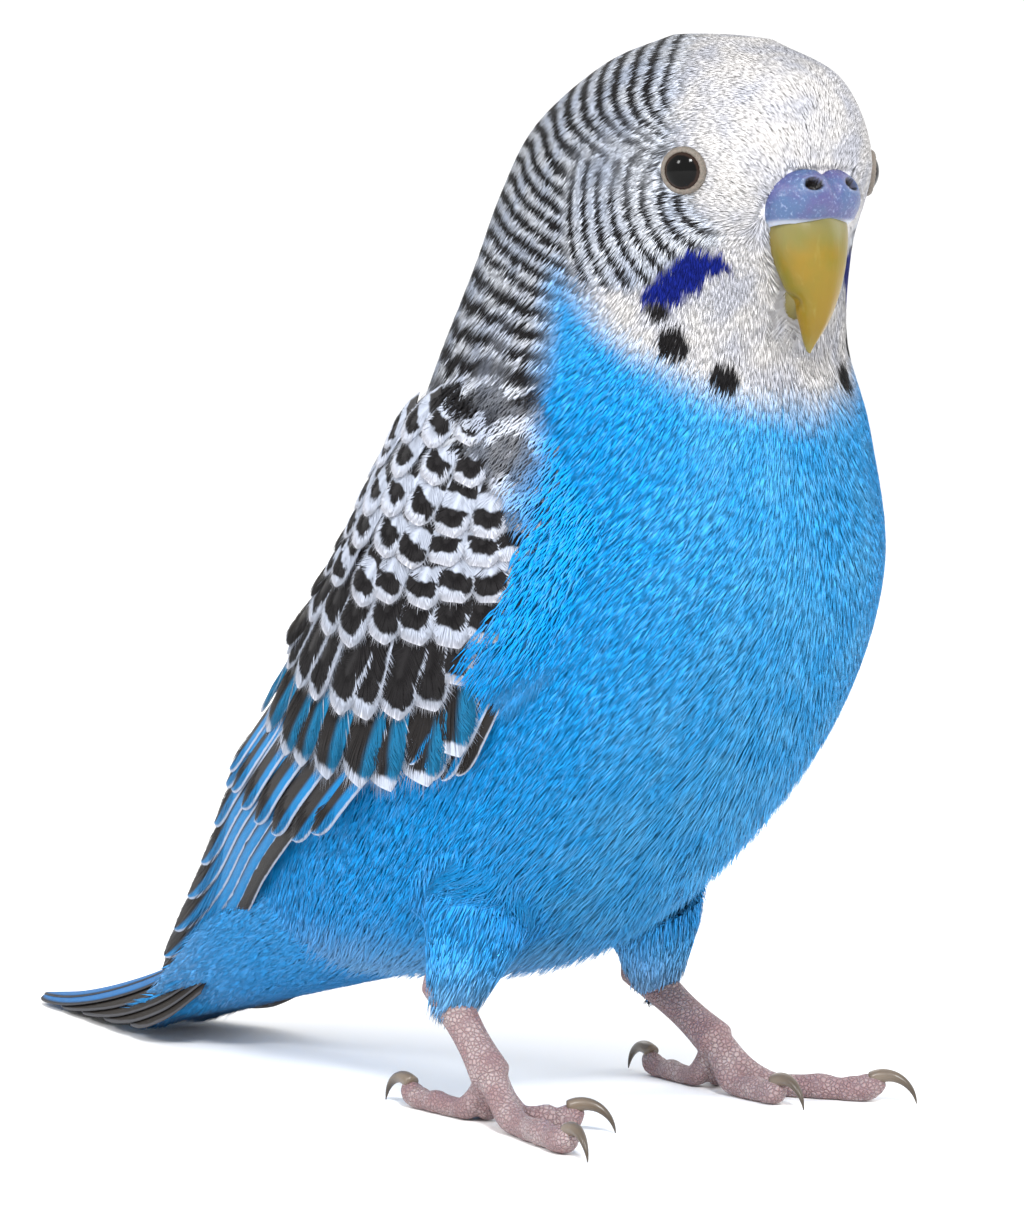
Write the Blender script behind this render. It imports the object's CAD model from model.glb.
"""A blue budgerigar as a life-size still model: skin, feather coat, wings, tail, bill, eyes, feet and stage.

Lengths in the tables are millimetres. A place on the bird is (forward, up, across), with across to its left,
measured from the floor's point midway between the feet. frame_point turns it into the frame's metres.
"""

import itertools
import math

import bmesh
import bpy
import numpy as np
from bpy.props import FloatProperty, FloatVectorProperty, PointerProperty
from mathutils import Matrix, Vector
from mathutils.kdtree import KDTree


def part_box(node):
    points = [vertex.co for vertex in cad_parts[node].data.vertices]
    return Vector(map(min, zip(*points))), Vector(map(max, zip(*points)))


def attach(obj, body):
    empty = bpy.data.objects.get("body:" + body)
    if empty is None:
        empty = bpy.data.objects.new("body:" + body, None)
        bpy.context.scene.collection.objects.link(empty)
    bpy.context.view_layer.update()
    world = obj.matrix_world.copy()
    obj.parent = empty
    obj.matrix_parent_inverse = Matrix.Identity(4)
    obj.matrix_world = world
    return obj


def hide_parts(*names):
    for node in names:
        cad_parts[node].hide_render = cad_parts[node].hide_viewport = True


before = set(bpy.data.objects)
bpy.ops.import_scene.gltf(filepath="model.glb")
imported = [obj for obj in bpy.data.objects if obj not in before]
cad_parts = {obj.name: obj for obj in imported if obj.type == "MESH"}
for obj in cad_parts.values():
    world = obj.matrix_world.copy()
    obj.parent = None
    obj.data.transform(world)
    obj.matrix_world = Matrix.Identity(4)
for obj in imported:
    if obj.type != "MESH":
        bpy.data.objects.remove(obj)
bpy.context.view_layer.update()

bl_info = {
    "name": "Budgerigar looks",
    "version": (1, 0, 0),
    "blender": (4, 5, 0),
    "location": "3D View > Sidebar > Bird",
    "description": "Builds the feathers, skin, eyes, bill and feet of a life-size budgerigar",
    "category": "Add Mesh",
}

MM = 0.001
# The middle of the bird's box from the feet: across to its left, and back
MIDDLE_ACROSS, MIDDLE_BACK = 0.7, 29.1
# The head turns to the bird's right, round an upright axis, more and more between two heights
HEAD_TURN = math.radians(5)
TURN_AXIS_FORWARD = 6
TURN_FROM_UP, TURN_TO_UP = 62, 80
# Most triangles in one piece of the coat
PIECE_LIMIT = 190000

# Body from the tail's root to the crown: back point, front point, half width, widest share of the chord
BODY_STATIONS = np.array(
    (
        (-46.5, 18.5, -46.2, 8.6, 5.4, 0.0),
        (-43.0, 24.0, -38.5, 8.8, 9.4, 0.0),
        (-38.8, 32.8, -25.0, 10.2, 13.6, 0.0),
        (-33.5, 41.0, -8.6, 12.3, 17.0, 0.0),
        (-28.0, 49.0, 6.6, 20.4, 19.0, 0.05),
        (-23.0, 56.5, 20.2, 34.0, 20.0, 0.1),
        (-18.2, 63.5, 26.8, 48.2, 19.4, 0.1),
        (-14.4, 71.0, 25.9, 61.0, 17.7, 0.05),
        (-11.2, 78.0, 24.2, 69.5, 15.4, 0.0),
        (-8.8, 84.6, 26.0, 78.0, 13.8, 0.05),
        (-4.6, 90.4, 29.2, 86.0, 12.7, 0.1),
        (3.4, 95.4, 27.4, 93.2, 8.8, 0.05),
        (10.5, 97.7, 20.4, 97.0, 3.8, 0.0),
    )
)
BODY_FULLNESS = 2.15
LAST_STATION = len(BODY_STATIONS) - 1
CROWN_RISE = np.array((0, 0.25, 0))

# Feather length, width and depth of the coat by station
COAT_KNOTS = (0, 3, 5, 6.5, 7.3, 8.2, 9, 11, 13)
COAT_LENGTH = (4.6, 4.0, 3.4, 3.1, 2.6, 2.0, 1.5, 1.4, 1.3)
COAT_WIDTH = (0.19, 0.17, 0.16, 0.15, 0.15, 0.145, 0.14, 0.14, 0.14)
COAT_DEPTH = (0.42, 0.4, 0.34, 0.29, 0.25, 0.2, 0.15, 0.13, 0.13)
# Coats of the body: station it starts and ends at, layers, spread of the way it lies, ridge of a tuft, seed, slot
BODY_COATS = {
    "body_coat": (0.0, 7.3, 3.2, 0.1, 0.09, 11, "blue_plumage"),
    "neck_coat": (7.3, 8.6, 3.6, 0.1, 0.09, 12, "barred_plumage"),
    "head_coat": (8.6, 13.0, 4.2, 0.06, 0.05, 13, "white_plumage"),
}
# Bare places: under a wing this far inside its edges, round an eye, and under the bill and cere by height
BARE_IN_WING = 5.5
BARE_ROUND_EYE = 2.5
BARE_BILL_UP = (76.5, 78.0, 80.0, 85.2)
BARE_BILL_HALF_WIDTH = (1.6, 2.6, 3.4, 3.6)
# Half width of the bill's edge by height, where feathers lean in over it
BILL_EDGE_UP = (72, 76.5, 78.0, 80.0, 83.5)
BILL_EDGE_HALF_WIDTH = (1.0, 1.6, 2.6, 3.4, 3.6)
# Tufts may not dip under this height
COAT_FLOOR = 0.2
THIGH_TUFTS_PER_AREA = 26
# Cells that the body is cut into to scatter its tufts, and the share of length times width that a tuft covers
ROWS_PER_STATION, TURN_COLUMNS = 40, 240
TUFT_COVER = 0.6
# Voxel size and smoothing steps of the joined skins
SKIN_VOXEL, SKIN_SMOOTHING = 0.7, 14
FOOT_VOXEL, FOOT_SMOOTHING = 0.22, 2

# Wings lie in the side view along an axis from the bend to the tip of the longest feather
WING_BEND = np.array((13.0, 59.0))
WING_TIP = np.array((-61.0, 8.5))
WING_LENGTH = float(np.linalg.norm(WING_TIP - WING_BEND))
WING_AXIS = (WING_TIP - WING_BEND) / WING_LENGTH
WING_CROSS = np.array((WING_AXIS[1], -WING_AXIS[0]))
# The bed that the feathers lie on, by distance along the wing: half width, middle and reach across
BED_ALONG = (-8, 5, 15, 30, 45, 58, 70, 82, 92)
BED_HALF_WIDTH = (14.5, 17.9, 20.2, 21.2, 18.8, 14.4, 9.2, 5.6, 3.2)
BED_MIDDLE = (0, 0, -1, -5, -6, -4, -2, -1, 0)
BED_REACH = (24, 27, 26, 22.5, 18.5, 14, 9.5, 6.5, 5)
# Upper and lower edge of the feathered wing by distance along it
EDGE_ALONG = (-4, 0, 10, 20, 33, 45, 58, 70)
UPPER_EDGE = (3, 8, 14, 16.5, 15, 11, 8, 6)
LOWER_EDGE = (-1, -6, -11.5, -12.5, -11, -8, -5, -3)
# How far back and up the left wing's tip lies from the right one's
LEFT_TIP_SHIFT = (6.0, 1.6)
# Kinds of wing feather: rows of points in a vane, spacing of the loose barbs, share of the length where they begin
WING_KINDS = {
    "primary": (22, 0.25, 0.9),
    "outer": (22, 0.25, 0.9),
    "edge": (22, 0.25, 0.8),
    "secondary": (22, 0.12, 0.72),
    "covert": (10, 0.12, 0.3),
    "lesser": (10, 0.12, 0.2),
    "scapular": (10, 0.14, 0.3),
}
# Kinds with a plain vane: colour of the outer and inner web, width of the white fringe at the tip and at the edge
WEBS = {
    "primary": ("flight_blue", "wing_dark", 0.22, 0.2),
    "outer": ("wing_dark", "tail_dark", 0.16, 0.12),
    "edge": ("flight_blue", "wing_dark", -0.3, 0.2),
    "secondary": ("teal_blue", "wing_dark", 1.9, 0.24),
    "scapular": ("bar_black", "tail_dark", 0.5, 0.3),
    "tail": ("tail_blue", "tail_dark", 0.1, 0.06),
    "tail_side": ("tail_dark", "tail_dark", 0.1, 0.2),
}
VANE_COLUMNS = 7
VANE_THICKNESS = 0.14
# Points of a loose barb: share along it, height over the vane. Its reach is a share of the vane's half width
BARB_POINTS = ((0.0, 0.02), (0.5, 0.1), (1.0, 0.03))
BARB_REACH = 0.85

# Rows of wing feathers from the flight feathers up: kind, tips from front to rear, count, length, width,
# slope at the front and rear in degrees, height over the wing's bed
WING_ROWS = (
    ("secondary", ((25, -13.8), (30.5, -13.2), (34.5, -11), (38.1, -8.1), (41.5, -5), (44.5, -2), (48, 2.6),
                   (53, 7)), 9, 25, 6.2, (-43, -8), 1.25),
    ("covert", ((19, -9.8), (24, -9.6), (29, -7.4), (33, -4.2), (36.5, -0.8), (40, 3.5), (44, 8)),
     9, 13, 5.4, (-50, -12), 1.55),
    ("covert", ((14.5, -8), (18.5, -6.2), (22.5, -3.2), (27, -1), (31, 2.5), (35, 6.5), (39, 10)),
     8, 10, 5.2, (-54, -12), 1.75),
    ("lesser", ((11.5, -6), (15, -3.6), (19, -1.4), (23, 1), (27, 4.5), (31, 8.5), (35, 12)),
     8, 8, 4.9, (-56, -10), 1.95),
    ("lesser", ((8.5, -4.2), (12, -2), (16, 0.6), (19.5, 3.4), (23, 6.5), (27, 10), (31, 13.6)),
     8, 7, 4.7, (-58, -10), 2.1),
    ("lesser", ((5.5, -2.6), (9.5, -0.6), (13, 2.4), (16.5, 5.4), (20, 8.6), (24, 12), (28, 15)),
     8, 6.5, 4.5, (-58, -10), 2.25),
    ("lesser", ((3, -0.5), (6.5, 1.8), (10, 4.8), (13.5, 7.6), (17, 10.6), (21, 13.8), (25, 16)),
     7, 6, 4.4, (-58, -8), 2.35),
    ("lesser", ((1.5, 2.2), (4.5, 4.4), (8, 7.4), (11.5, 10.2), (15, 13), (19, 15.6)),
     6, 5.5, 4.3, (-55, -6), 2.45),
)
# Single long feathers: kind, root, tip, width, height
PRIMARY_TIPS = (
    (86.0, -2.6), (89.4, -1.6), (87.6, -0.9), (83.2, -0.3), (78.0, 0.5), (72.5, 1.3), (66.5, 2.3), (61.0, 3.5),
)
PRIMARIES = tuple(
    ("outer" if i == 0 else "primary", (30 + 1.2 * i, -8.5 + 1.6 * i), tip, 3.3, 0.9 + 0.08 * i)
    for i, tip in enumerate(PRIMARY_TIPS)
)
PRIMARY_COVERT_TIPS = (
    (44.5, -9.6), (48, -8.4), (51, -6.2), (53.5, -3.8), (55.5, -1.4), (57.5, 1.2), (58.5, 3.6),
)
PRIMARY_COVERTS = tuple(
    ("primary", (tip[0] - 17, tip[1] + 0.6), tip, 2.7, 1.35 + 0.06 * i) for i, tip in enumerate(PRIMARY_COVERT_TIPS)
)
EDGE_FEATHER_TIPS = ((25.0, -15.0), (26.5, -14.6), (27.5, -14.0), (28.0, -13.0), (28.0, -12.0))
EDGE_FEATHERS = tuple(
    ("outer" if i == 0 else "edge", (11.0 + 0.8 * i, -9.6 + 0.6 * i), tip, 2.0, 0.95 + 0.07 * i)
    for i, tip in enumerate(EDGE_FEATHER_TIPS)
)
SCAPULARS = tuple(
    ("scapular", (tip[0] - 9, tip[1] + 1.2), tip, 5.0, 2.5 - 0.1 * i)
    for i, tip in enumerate(((41, 7.4), (36, 9.6), (31, 11.4), (26, 13.0)))
)

# Tail: its upper ridge in the side view, half width and depth by distance from the root
TAIL_RIDGE = ((-46.9, 18.4), (-52, 13.8), (-58, 9.8), (-65, 6.5), (-73, 3.9), (-81, 2.0), (-89, 0.9))
TAIL_HALF_WIDTH = (5.4, 6.6, 6.9, 6.4, 5.4, 4.2, 2.8)
TAIL_DEPTH = (9.8, 8.8, 7.2, 5.2, 3.4, 2.1, 1.2)
TAIL_STEPS = len(TAIL_RIDGE) - 1
TAIL_LENGTH = 46.0
TAIL_TURN = math.radians(3)
# Tail feathers from the top down: share of the tail's length at the tip, place across, width
TAIL_FEATHERS = (
    (1.0, 0.14, 6.4), (0.985, -0.18, 6.4), (0.88, 0.4, 5.6), (0.87, -0.44, 5.6), (0.76, 0.6, 5.0),
    (0.75, -0.64, 5.0), (0.64, 0.76, 4.4), (0.63, -0.8, 4.4), (0.5, 0.88, 4.0), (0.49, -0.92, 4.0),
)
# Taper of a tail feather: share of its length where it starts, and its power
TAIL_TAPER = (0.6, 1.6)
# Share of the tail's length where its core ends
CORE_END = 0.6
# The smooth underside from the belly to the tail: middle line, and its end as a share and a step of the tail
RUMP_START, RUMP_WAY = np.array((-34.0, 20.0, 0)), np.array((-27.0, -14.0, 0))
RUMP_BELLY_STATION = 1.8
RUMP_END, RUMP_END_STEP = 0.433, 2.6

# Legs: knee, heel and the toes' joint as forward and up, and each toe's reach forward and outward
LEGS = {
    "right": {
        "side": -1, "knee": (-4.0, 22.0), "heel": (-5.6, 10.6), "joint": (-0.4, 4.6),
        "toes": {"1": (-7.2, -5.2), "2": (7.4, -3.7), "3": (16.4, 5.4), "4": (-13.2, -1.6)},
    },
    "left": {
        "side": 1, "knee": (-6.0, 21.0), "heel": (-8.6, 9.4), "joint": (-0.4, 4.8),
        "toes": {"1": (-11.6, 2.4), "2": (9.6, -1.2), "3": (14.4, 7.0), "4": (-6.8, 7.6)},
    },
}
# Feet stand this far out, and the tops of the thighs lie further in
FOOT_OUT = 14.1
THIGH_IN = 3.2
# Toe: share of its length, thickness and lift
TOE_SHAPE = (
    (0, 1.2, 0), (0.24, 1.08, 0), (0.46, 0.92, 0), (0.62, 1.04, 0), (0.78, 0.94, 0), (0.9, 1.1, 0), (1, 0.86, 0.8),
)
TOE_RADIUS = {"1": 0.98, "2": 1.12, "3": 1.16, "4": 1.02}
CLAW_LENGTH = 5.0
# A claw starts inside the toe's tip, rises from it and then curves down, in degrees
CLAW_INSIDE = 0.6
CLAW_RISE, CLAW_CURVE = 34, 112
CLAW_STEPS, CLAW_SIDES = 16, 16
LIMB_FLOOR = 0.02
THIGH_RADII = (5.3, 5.3, 4.5, 3.4, 2.6)
SHANK_RADII = (2.0, 1.6, 1.6, 1.9)

BILL_MIDDLE = np.array((26.0, 80.5, -1.7))

# Cere and bill: rings as in the body's stations
CERE_STATIONS = (
    (24.6, 80.4, 29.8, 80.9, 4.3, 0.0), (24.3, 82.3, 31.0, 82.9, 4.7, 0.0), (24.3, 84.1, 30.5, 84.6, 4.3, 0.0),
    (25.0, 85.4, 28.6, 85.7, 2.9, 0.0),
)
UPPER_BILL_STATIONS = (
    (22.8, 83.2, 28.6, 83.8, 3.4, 0.1), (23.4, 79.6, 30.1, 81.0, 3.7, 0.1), (24.4, 77.2, 30.5, 78.0, 3.1, 0.0),
    (25.2, 75.0, 30.0, 75.2, 2.3, -0.1), (25.8, 72.9, 28.7, 72.6, 1.4, -0.1), (25.8, 70.9, 27.0, 70.6, 0.6, 0.0),
    (25.9, 69.9, 26.2, 69.7, 0.1, 0.0),
)
LOWER_BILL_STATIONS = (
    (21.4, 71.6, 21.4, 76.6, 2.6, 0.0), (23.8, 72.2, 23.8, 76.6, 2.4, 0.0), (25.4, 73.0, 25.3, 76.2, 1.8, 0.0),
    (26.4, 74.2, 26.2, 75.6, 0.9, 0.0),
)
BILL_FULLNESS = 2.1
NOSTRIL_PLACE = (30.6, 84.35, 2.1)
NOSTRIL_SQUEEZE = (1.1, 1.4, 1.05)
IRIS_REACH = 1.85

# Markings: ends of the violet patch, the black spot below it, throat spots with radius, centre of the cheek's arcs
CHEEK_PATCH = np.array(((22.6, 77.0), (19.3, 73.8)))
CHEEK_SPOT = np.array((19.2, 72.7))
THROAT_SPOTS = (((20.1, 69.9, 10.6), 1.45), ((22.9, 66.8, 7.5), 1.4))
CHEEK_ARCS = np.array((24.6, 82.9, 8.8))
# Bars counted from the brow, by station from the back up to the crown
BAR_STATIONS = (3.0, 7.0, 8.2, 13.0)
BAR_COUNTS = (28.64, 19.84, 16.24, -3.44)
# From one bar to the next
CROWN_BAR, CHEEK_BAR = 2.25, 1.62

# Stage, in metres in the frame. Lamps: name, place, size and power
LAMPS = (
    ("key_light", (-0.42, -0.62, 0.65), 0.15, 6.9),
    ("side_light", (-0.75, 0.0, 0.5), 0.16, 3.0),
    ("fill_light", (0.6, -0.4, 0.4), 0.5, 1.6),
    ("back_light", (0.25, 0.7, 0.6), 0.5, 1.6),
)
LAMP_AIM = Vector((0, -0.01, 0.055))
ROOM_STRENGTH = 1.1
FLOOR_SIZE = 60.0
CAMERA_PLACE = (-0.3217, -0.3724, 0.079)
CAMERA_WAY, CAMERA_DOWN = (0.669, 0.743), math.radians(4.08)
CAMERA_LENS, SENSOR_WIDTH = 151.44, 36.0


# Small sums that work on whole arrays


def soft(low, high, x):
    """A smooth step from 0 at low to 1 at high."""
    t = np.clip((x - low) / (high - low), 0, 1)
    return t * t * (3 - 2 * t)


def unit(vectors):
    return vectors / np.maximum(np.linalg.norm(vectors, axis=-1, keepdims=True), 1e-9)


def dot(a, b):
    return np.sum(a * b, axis=-1, keepdims=True)


def eased(values, position):
    """Catmull-Rom values at fractional indices."""
    values = np.asarray(values, float)
    position = np.clip(np.asarray(position, float), 0, len(values) - 1)
    i = np.minimum(position.astype(int), len(values) - 2)
    t = position - i
    if values.ndim > 1:
        t = t[..., None]
    padded = np.concatenate([[2 * values[0] - values[1]], values, [2 * values[-1] - values[-2]]])
    b, p, q, a = (padded[i + k] for k in range(4))
    return 0.5 * (2 * p + (q - b) * t + (2 * b - 5 * p + 4 * q - a) * t**2 + (3 * p - b - 3 * q + a) * t**3)


def between(knots, values, x):
    """Smooth values at x, for values given at rising knots."""
    knots = np.asarray(knots, float)
    x = np.clip(x, knots[0], knots[-1])
    i = np.clip(np.searchsorted(knots, x, side="right") - 1, 0, len(knots) - 2)
    return eased(values, i + (x - knots[i]) / (knots[i + 1] - knots[i]))


def speckle(points, size, seed=0):
    """Smooth noise from -1 to 1, with hills about one size apart."""
    places = np.asarray(points, float) / size + 31.7 * (seed + 1)
    cell = np.floor(places).astype(np.int64)
    part = places - cell
    part = part * part * (3 - 2 * part)
    total = np.zeros(places.shape[:-1])
    for corner in itertools.product((0, 1), repeat=3):
        c = cell + corner
        mixed = (c[..., 0] * 374761393 + c[..., 1] * 668265263 + c[..., 2] * 1103515245 + seed * 974711) & 0xFFFFFFFF
        mixed = ((mixed ^ (mixed >> 13)) * 1274126177) & 0xFFFFFFFF
        value = ((mixed ^ (mixed >> 16)) & 0xFFFF) / 32767.5 - 1
        weight = np.prod(np.where(corner, part, 1 - part), axis=-1)
        total += value * weight
    return total


# Places on the bird


def frame_point(points):
    """Places in millimetres on the bird as metres in the frame."""
    p = np.asarray(points, float)
    return np.stack([p[..., 2] - MIDDLE_ACROSS, -p[..., 0] - MIDDLE_BACK, p[..., 1]], -1) * MM


def frame_way(ways):
    """Directions on the bird as directions in the frame."""
    w = np.asarray(ways, float)
    return np.stack([w[..., 2], -w[..., 0], w[..., 1]], -1)


def head_turned(points):
    points = np.asarray(points, float)
    angle = HEAD_TURN * soft(TURN_FROM_UP, TURN_TO_UP, points[..., 1])
    reach, across = points[..., 0] - TURN_AXIS_FORWARD, points[..., 2]
    return np.stack(
        [
            TURN_AXIS_FORWARD + reach * np.cos(angle) + across * np.sin(angle),
            points[..., 1],
            across * np.cos(angle) - reach * np.sin(angle),
        ],
        -1,
    )


def ring_point(rows, turn, fullness):
    """Places on rings whose chords run from a back point to a front point."""
    back, front, width, widest = rows[..., 0:2], rows[..., 2:4], rows[..., 4], rows[..., 5]
    c = np.sign(np.cos(turn)) * np.abs(np.cos(turn)) ** (2 / fullness)
    span = (c - widest) / np.where(c > widest, 1 - widest, 1 + widest)
    across = width * np.maximum(0, 1 - np.abs(span) ** fullness) ** (1 / fullness) * np.sign(np.sin(turn))
    side_view = (back + front) / 2 + (front - back) / 2 * c[..., None]
    return np.concatenate([side_view, across[..., None]], -1)


def chord_middle(rows):
    return np.concatenate([(rows[..., 0:2] + rows[..., 2:4]) / 2, np.zeros(rows.shape[:-1] + (1,))], -1)


def body_raw(position, turn):
    """A place on the body before the head's turn. Past the last station it closes over the crown."""
    position, turn = np.asarray(position, float), np.asarray(turn, float)
    rows = eased(BODY_STATIONS, position)
    point = ring_point(rows, turn, BODY_FULLNESS)
    over = np.clip(position - LAST_STATION, 0, 1)[..., None]
    return point + (chord_middle(rows) - point) * over + CROWN_RISE * (1 - (1 - over) ** 2)


def body_point(position, turn):
    return head_turned(body_raw(position, turn))


def body_slopes(position, turn):
    """Outward normal, and the change of place for a unit of position and of turn."""
    e = 0.02
    position = np.clip(position, e, LAST_STATION + 1 - e)
    low, high = position - e, position + e
    along = (body_point(high, turn) - body_point(low, turn)) / (high - low)[..., None]
    across = (body_point(position, turn + e) - body_point(position, turn - e)) / (2 * e)
    normal = unit(np.cross(along, across))
    middle = chord_middle(eased(BODY_STATIONS, position))
    outward = body_point(position, turn) - head_turned(middle)
    outward[..., 1] += 4 * np.clip(position - LAST_STATION + 0.5, 0, 1)
    return normal * np.where(dot(normal, outward) < 0, -1, 1), along, across


def coat_value(values, position):
    return between(COAT_KNOTS, values, position)


def feather_flow(points, normals):
    """The way that small feathers lie: away from the bill, then down the neck and along the body."""
    from_bill = points - BILL_MIDDLE
    distance = np.linalg.norm(from_bill, axis=-1, keepdims=True)
    near = np.exp(-((distance / 16) ** 2))
    body = np.empty_like(points)
    body[..., 0], body[..., 1] = -0.58, -0.81
    body[..., 2] = 0.38 * np.sign(points[..., 2]) * np.clip(normals[..., 0] + 0.2, 0, 1)
    body[..., 2] *= np.clip(np.abs(points[..., 2]) / 6, 0, 1)
    low = soft(82, 78, points[..., 1:2]) * soft(12, 20, points[..., 0:1])
    face = unit(from_bill) * (1 - low) + np.array((0.25, -0.95, 0)) * low
    way = face * near + body * (1 - near)
    return unit(way - normals * dot(way, normals))


def bed_point(along, across):
    """The wing's bed as (forward, up, outward)."""
    along, across = np.asarray(along, float), np.asarray(across, float)
    side_view = WING_BEND + WING_AXIS * along[..., None] + WING_CROSS * across[..., None]
    share = (across - between(BED_ALONG, BED_MIDDLE, along)) / between(BED_ALONG, BED_REACH, along)
    out = between(BED_ALONG, BED_HALF_WIDTH, along) * np.sqrt(np.maximum(0.03, 1 - share * share))
    return np.concatenate([side_view, out[..., None]], -1)


def wing_point(along, across, height, side):
    """A place in a wing at a height over its bed, and the wing's normal there."""
    along, across = np.broadcast_arrays(np.asarray(along, float), np.asarray(across, float))
    height = np.asarray(height, float)
    step = 0.5
    here = bed_point(along, across)
    normal = unit(np.cross(bed_point(along, across + step) - here, bed_point(along + step, across) - here))
    normal = normal * np.where(normal[..., 2:] < 0, -1, 1)
    low = np.clip(along / 18, 0, 1) * 0.6 + 0.4
    far = 1 - 0.45 * np.clip((across - 7) / 9, 0, 1)
    height = np.where(height > 0.4, height * np.minimum(low, far), height)
    point = here + normal * height[..., None]
    point[..., 2] *= side
    normal[..., 2] *= side
    if side > 0:
        share = np.clip((along - 48) / 42, 0, 1) ** 2
        point[..., 0] -= LEFT_TIP_SHIFT[0] * share
        point[..., 1] += LEFT_TIP_SHIFT[1] * share
    return point, normal


def wing_place(points):
    """How far along and across a wing places lie in the side view."""
    off = points[..., :2] - WING_BEND
    return off @ WING_AXIS, off @ WING_CROSS


def inside_wing(points):
    """How far inside a wing's edges places lie, in millimetres. It is negative outside."""
    along, across = wing_place(points)
    upper, lower = between(EDGE_ALONG, UPPER_EDGE, along), between(EDGE_ALONG, LOWER_EDGE, along)
    inside = np.minimum(np.minimum(across - lower, upper - across), np.minimum(along - 0.5, 84 - along))
    bed = between(BED_ALONG, BED_HALF_WIDTH, along)
    return np.where(np.abs(points[..., 2]) > bed * 0.35, inside, -9.0)


def tail_half_width(share):
    return eased(TAIL_HALF_WIDTH, share * TAIL_STEPS)


def tail_spot(share, across, drop, lowest=0.0):
    """A place in the tail: share of its length, across from its ridge, and drop under the roof there."""
    position = np.asarray(share, float) * TAIL_STEPS
    ridge = eased(TAIL_RIDGE, position)
    half = eased(TAIL_HALF_WIDTH, position)
    fall = eased(TAIL_DEPTH, position) * 0.62 * (np.abs(across) / half) ** 1.5
    reach = ridge[..., 0] - TAIL_RIDGE[0][0]
    up = np.maximum(ridge[..., 1] - fall - drop, lowest)
    return np.stack([ridge[..., 0], up, across - reach * math.sin(TAIL_TURN)], -1)


# Markings


def bars(phase, black_share, softness=0.1):
    """Black bars, one for each whole step of the phase."""
    wave = np.abs((phase % 1) - 0.5) * 2
    return soft(1 - black_share - softness, 1 - black_share + softness, wave)


def barred_marks(even, raw, position, side, wobble, fine, slow):
    """Share of black from the bars of crown, neck, mantle and cheek, and how far a place is barred at all."""
    f, u, a = even[..., 0], even[..., 1], even[..., 2]
    crown = 13.3 - f + 0.86 * (np.sqrt(a * a + 1.5) - 0.6)
    tilt = between((6.5, 7.0, 7.7, 8.3, 8.9, 9.5), (-0.4, -0.3, 0.0, 0.25, 0.6, 1.0), position)
    ring = position + 0.0165 * np.clip(120 - side, 0, 60) * tilt
    share = soft(10.7, 9.8, position)
    mantle = soft(8.2, 7.0, position)
    path = crown / CROWN_BAR * (1 - share) + np.interp(ring, BAR_STATIONS, BAR_COUNTS) * share
    reach = np.linalg.norm(even - CHEEK_ARCS, axis=-1)
    jitter = 0.11 * wobble + 0.07 * fine + 0.3 * mantle * np.abs(np.sin(np.radians(side) * 13.8 + wobble))
    brow = soft(4.5, 0.0, crown)
    top = bars(path + jitter + 0.2 * mantle * slow, 0.52 + 0.06 * mantle - 0.24 * brow)
    top = top * (1 - mantle * soft(0.3, 0.5, speckle(even * (1, 1, 0.6), 4.2, 5)) * 0.25)
    low = bars(reach / CHEEK_BAR + 0.6 * jitter, 0.4)
    lower = soft(87.6, 86.0, u) * soft(16.0, 14.2, reach + 0.5 * wobble) * soft(0, 5, f)
    mottled = np.exp(-(((f - 16.5) / 4.2) ** 2) - ((u - 86.2) / 2.3) ** 2)
    black = top * (1 - lower) + low * lower
    black = black * (1 - mottled) + 0.75 * mottled * soft(0.05, 0.35, speckle(raw, 0.55, 7))

    behind_brow = soft(-1.0, 2.2, crown + 0.9 * fine)
    edge_line = np.where(f > 18.6, 74.4 + (f - 18.6) * 0.74, 74.4)
    in_cheek = soft(1.4, 2.4, reach) * soft(24.9, 22.9, f + 0.4 * wobble) * soft(-0.2, 1.0, u - edge_line)
    on_head = behind_brow * (1 - lower) + in_cheek * lower
    on_neck = soft(73, 83, side + 3 * slow + 4 * fine)
    barred = on_neck + (on_head - on_neck) * soft(8.0, 8.5, position)
    return black * barred, barred


def blue_share(up, position, side, wobble, fine, slow):
    """Share of blue: below the bib, in front of the mantle, and all round at the rump."""
    bib = 7.3 + 0.98 * (np.minimum(side, 84) / 77) ** 2.2
    blue = soft(bib + 0.34, bib - 0.3, position + 0.05 * wobble)
    limit = 84 + 25 * np.clip(5.2 - position, 0, 3)
    blue = blue * soft(limit + 7, limit - 7, side + 3 * slow + 2 * wobble)
    blue = np.maximum(blue, soft(3.9, 2.9, position + 0.3 * slow + 0.2 * fine))
    return blue * (1 - 0.22 * soft(17, 9, up) * soft(6, 3, position))


def face_spots(even, fine):
    """Shares of the violet cheek patch and of the black spots below it and on the throat."""
    start, end = CHEEK_PATCH
    line = end - start
    along = np.clip(((even[..., :2] - start) @ line) / (line @ line), 0, 1)
    off = np.linalg.norm(even[..., :2] - start - along[..., None] * line, axis=-1)
    front = soft(6, 9, even[..., 0])
    violet = soft(0.3, -0.3, off - 1.3 - 0.45 * fine) * front
    spot = soft(0.3, -0.3, np.linalg.norm(even[..., :2] - CHEEK_SPOT, axis=-1) - 0.85 - 0.25 * fine) * front
    for place, radius in THROAT_SPOTS:
        distance = np.linalg.norm(even - np.array(place), axis=-1)
        spot = np.maximum(spot, soft(0.2, -0.15, distance - radius - 0.16 * fine))
    return violet, spot


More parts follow.
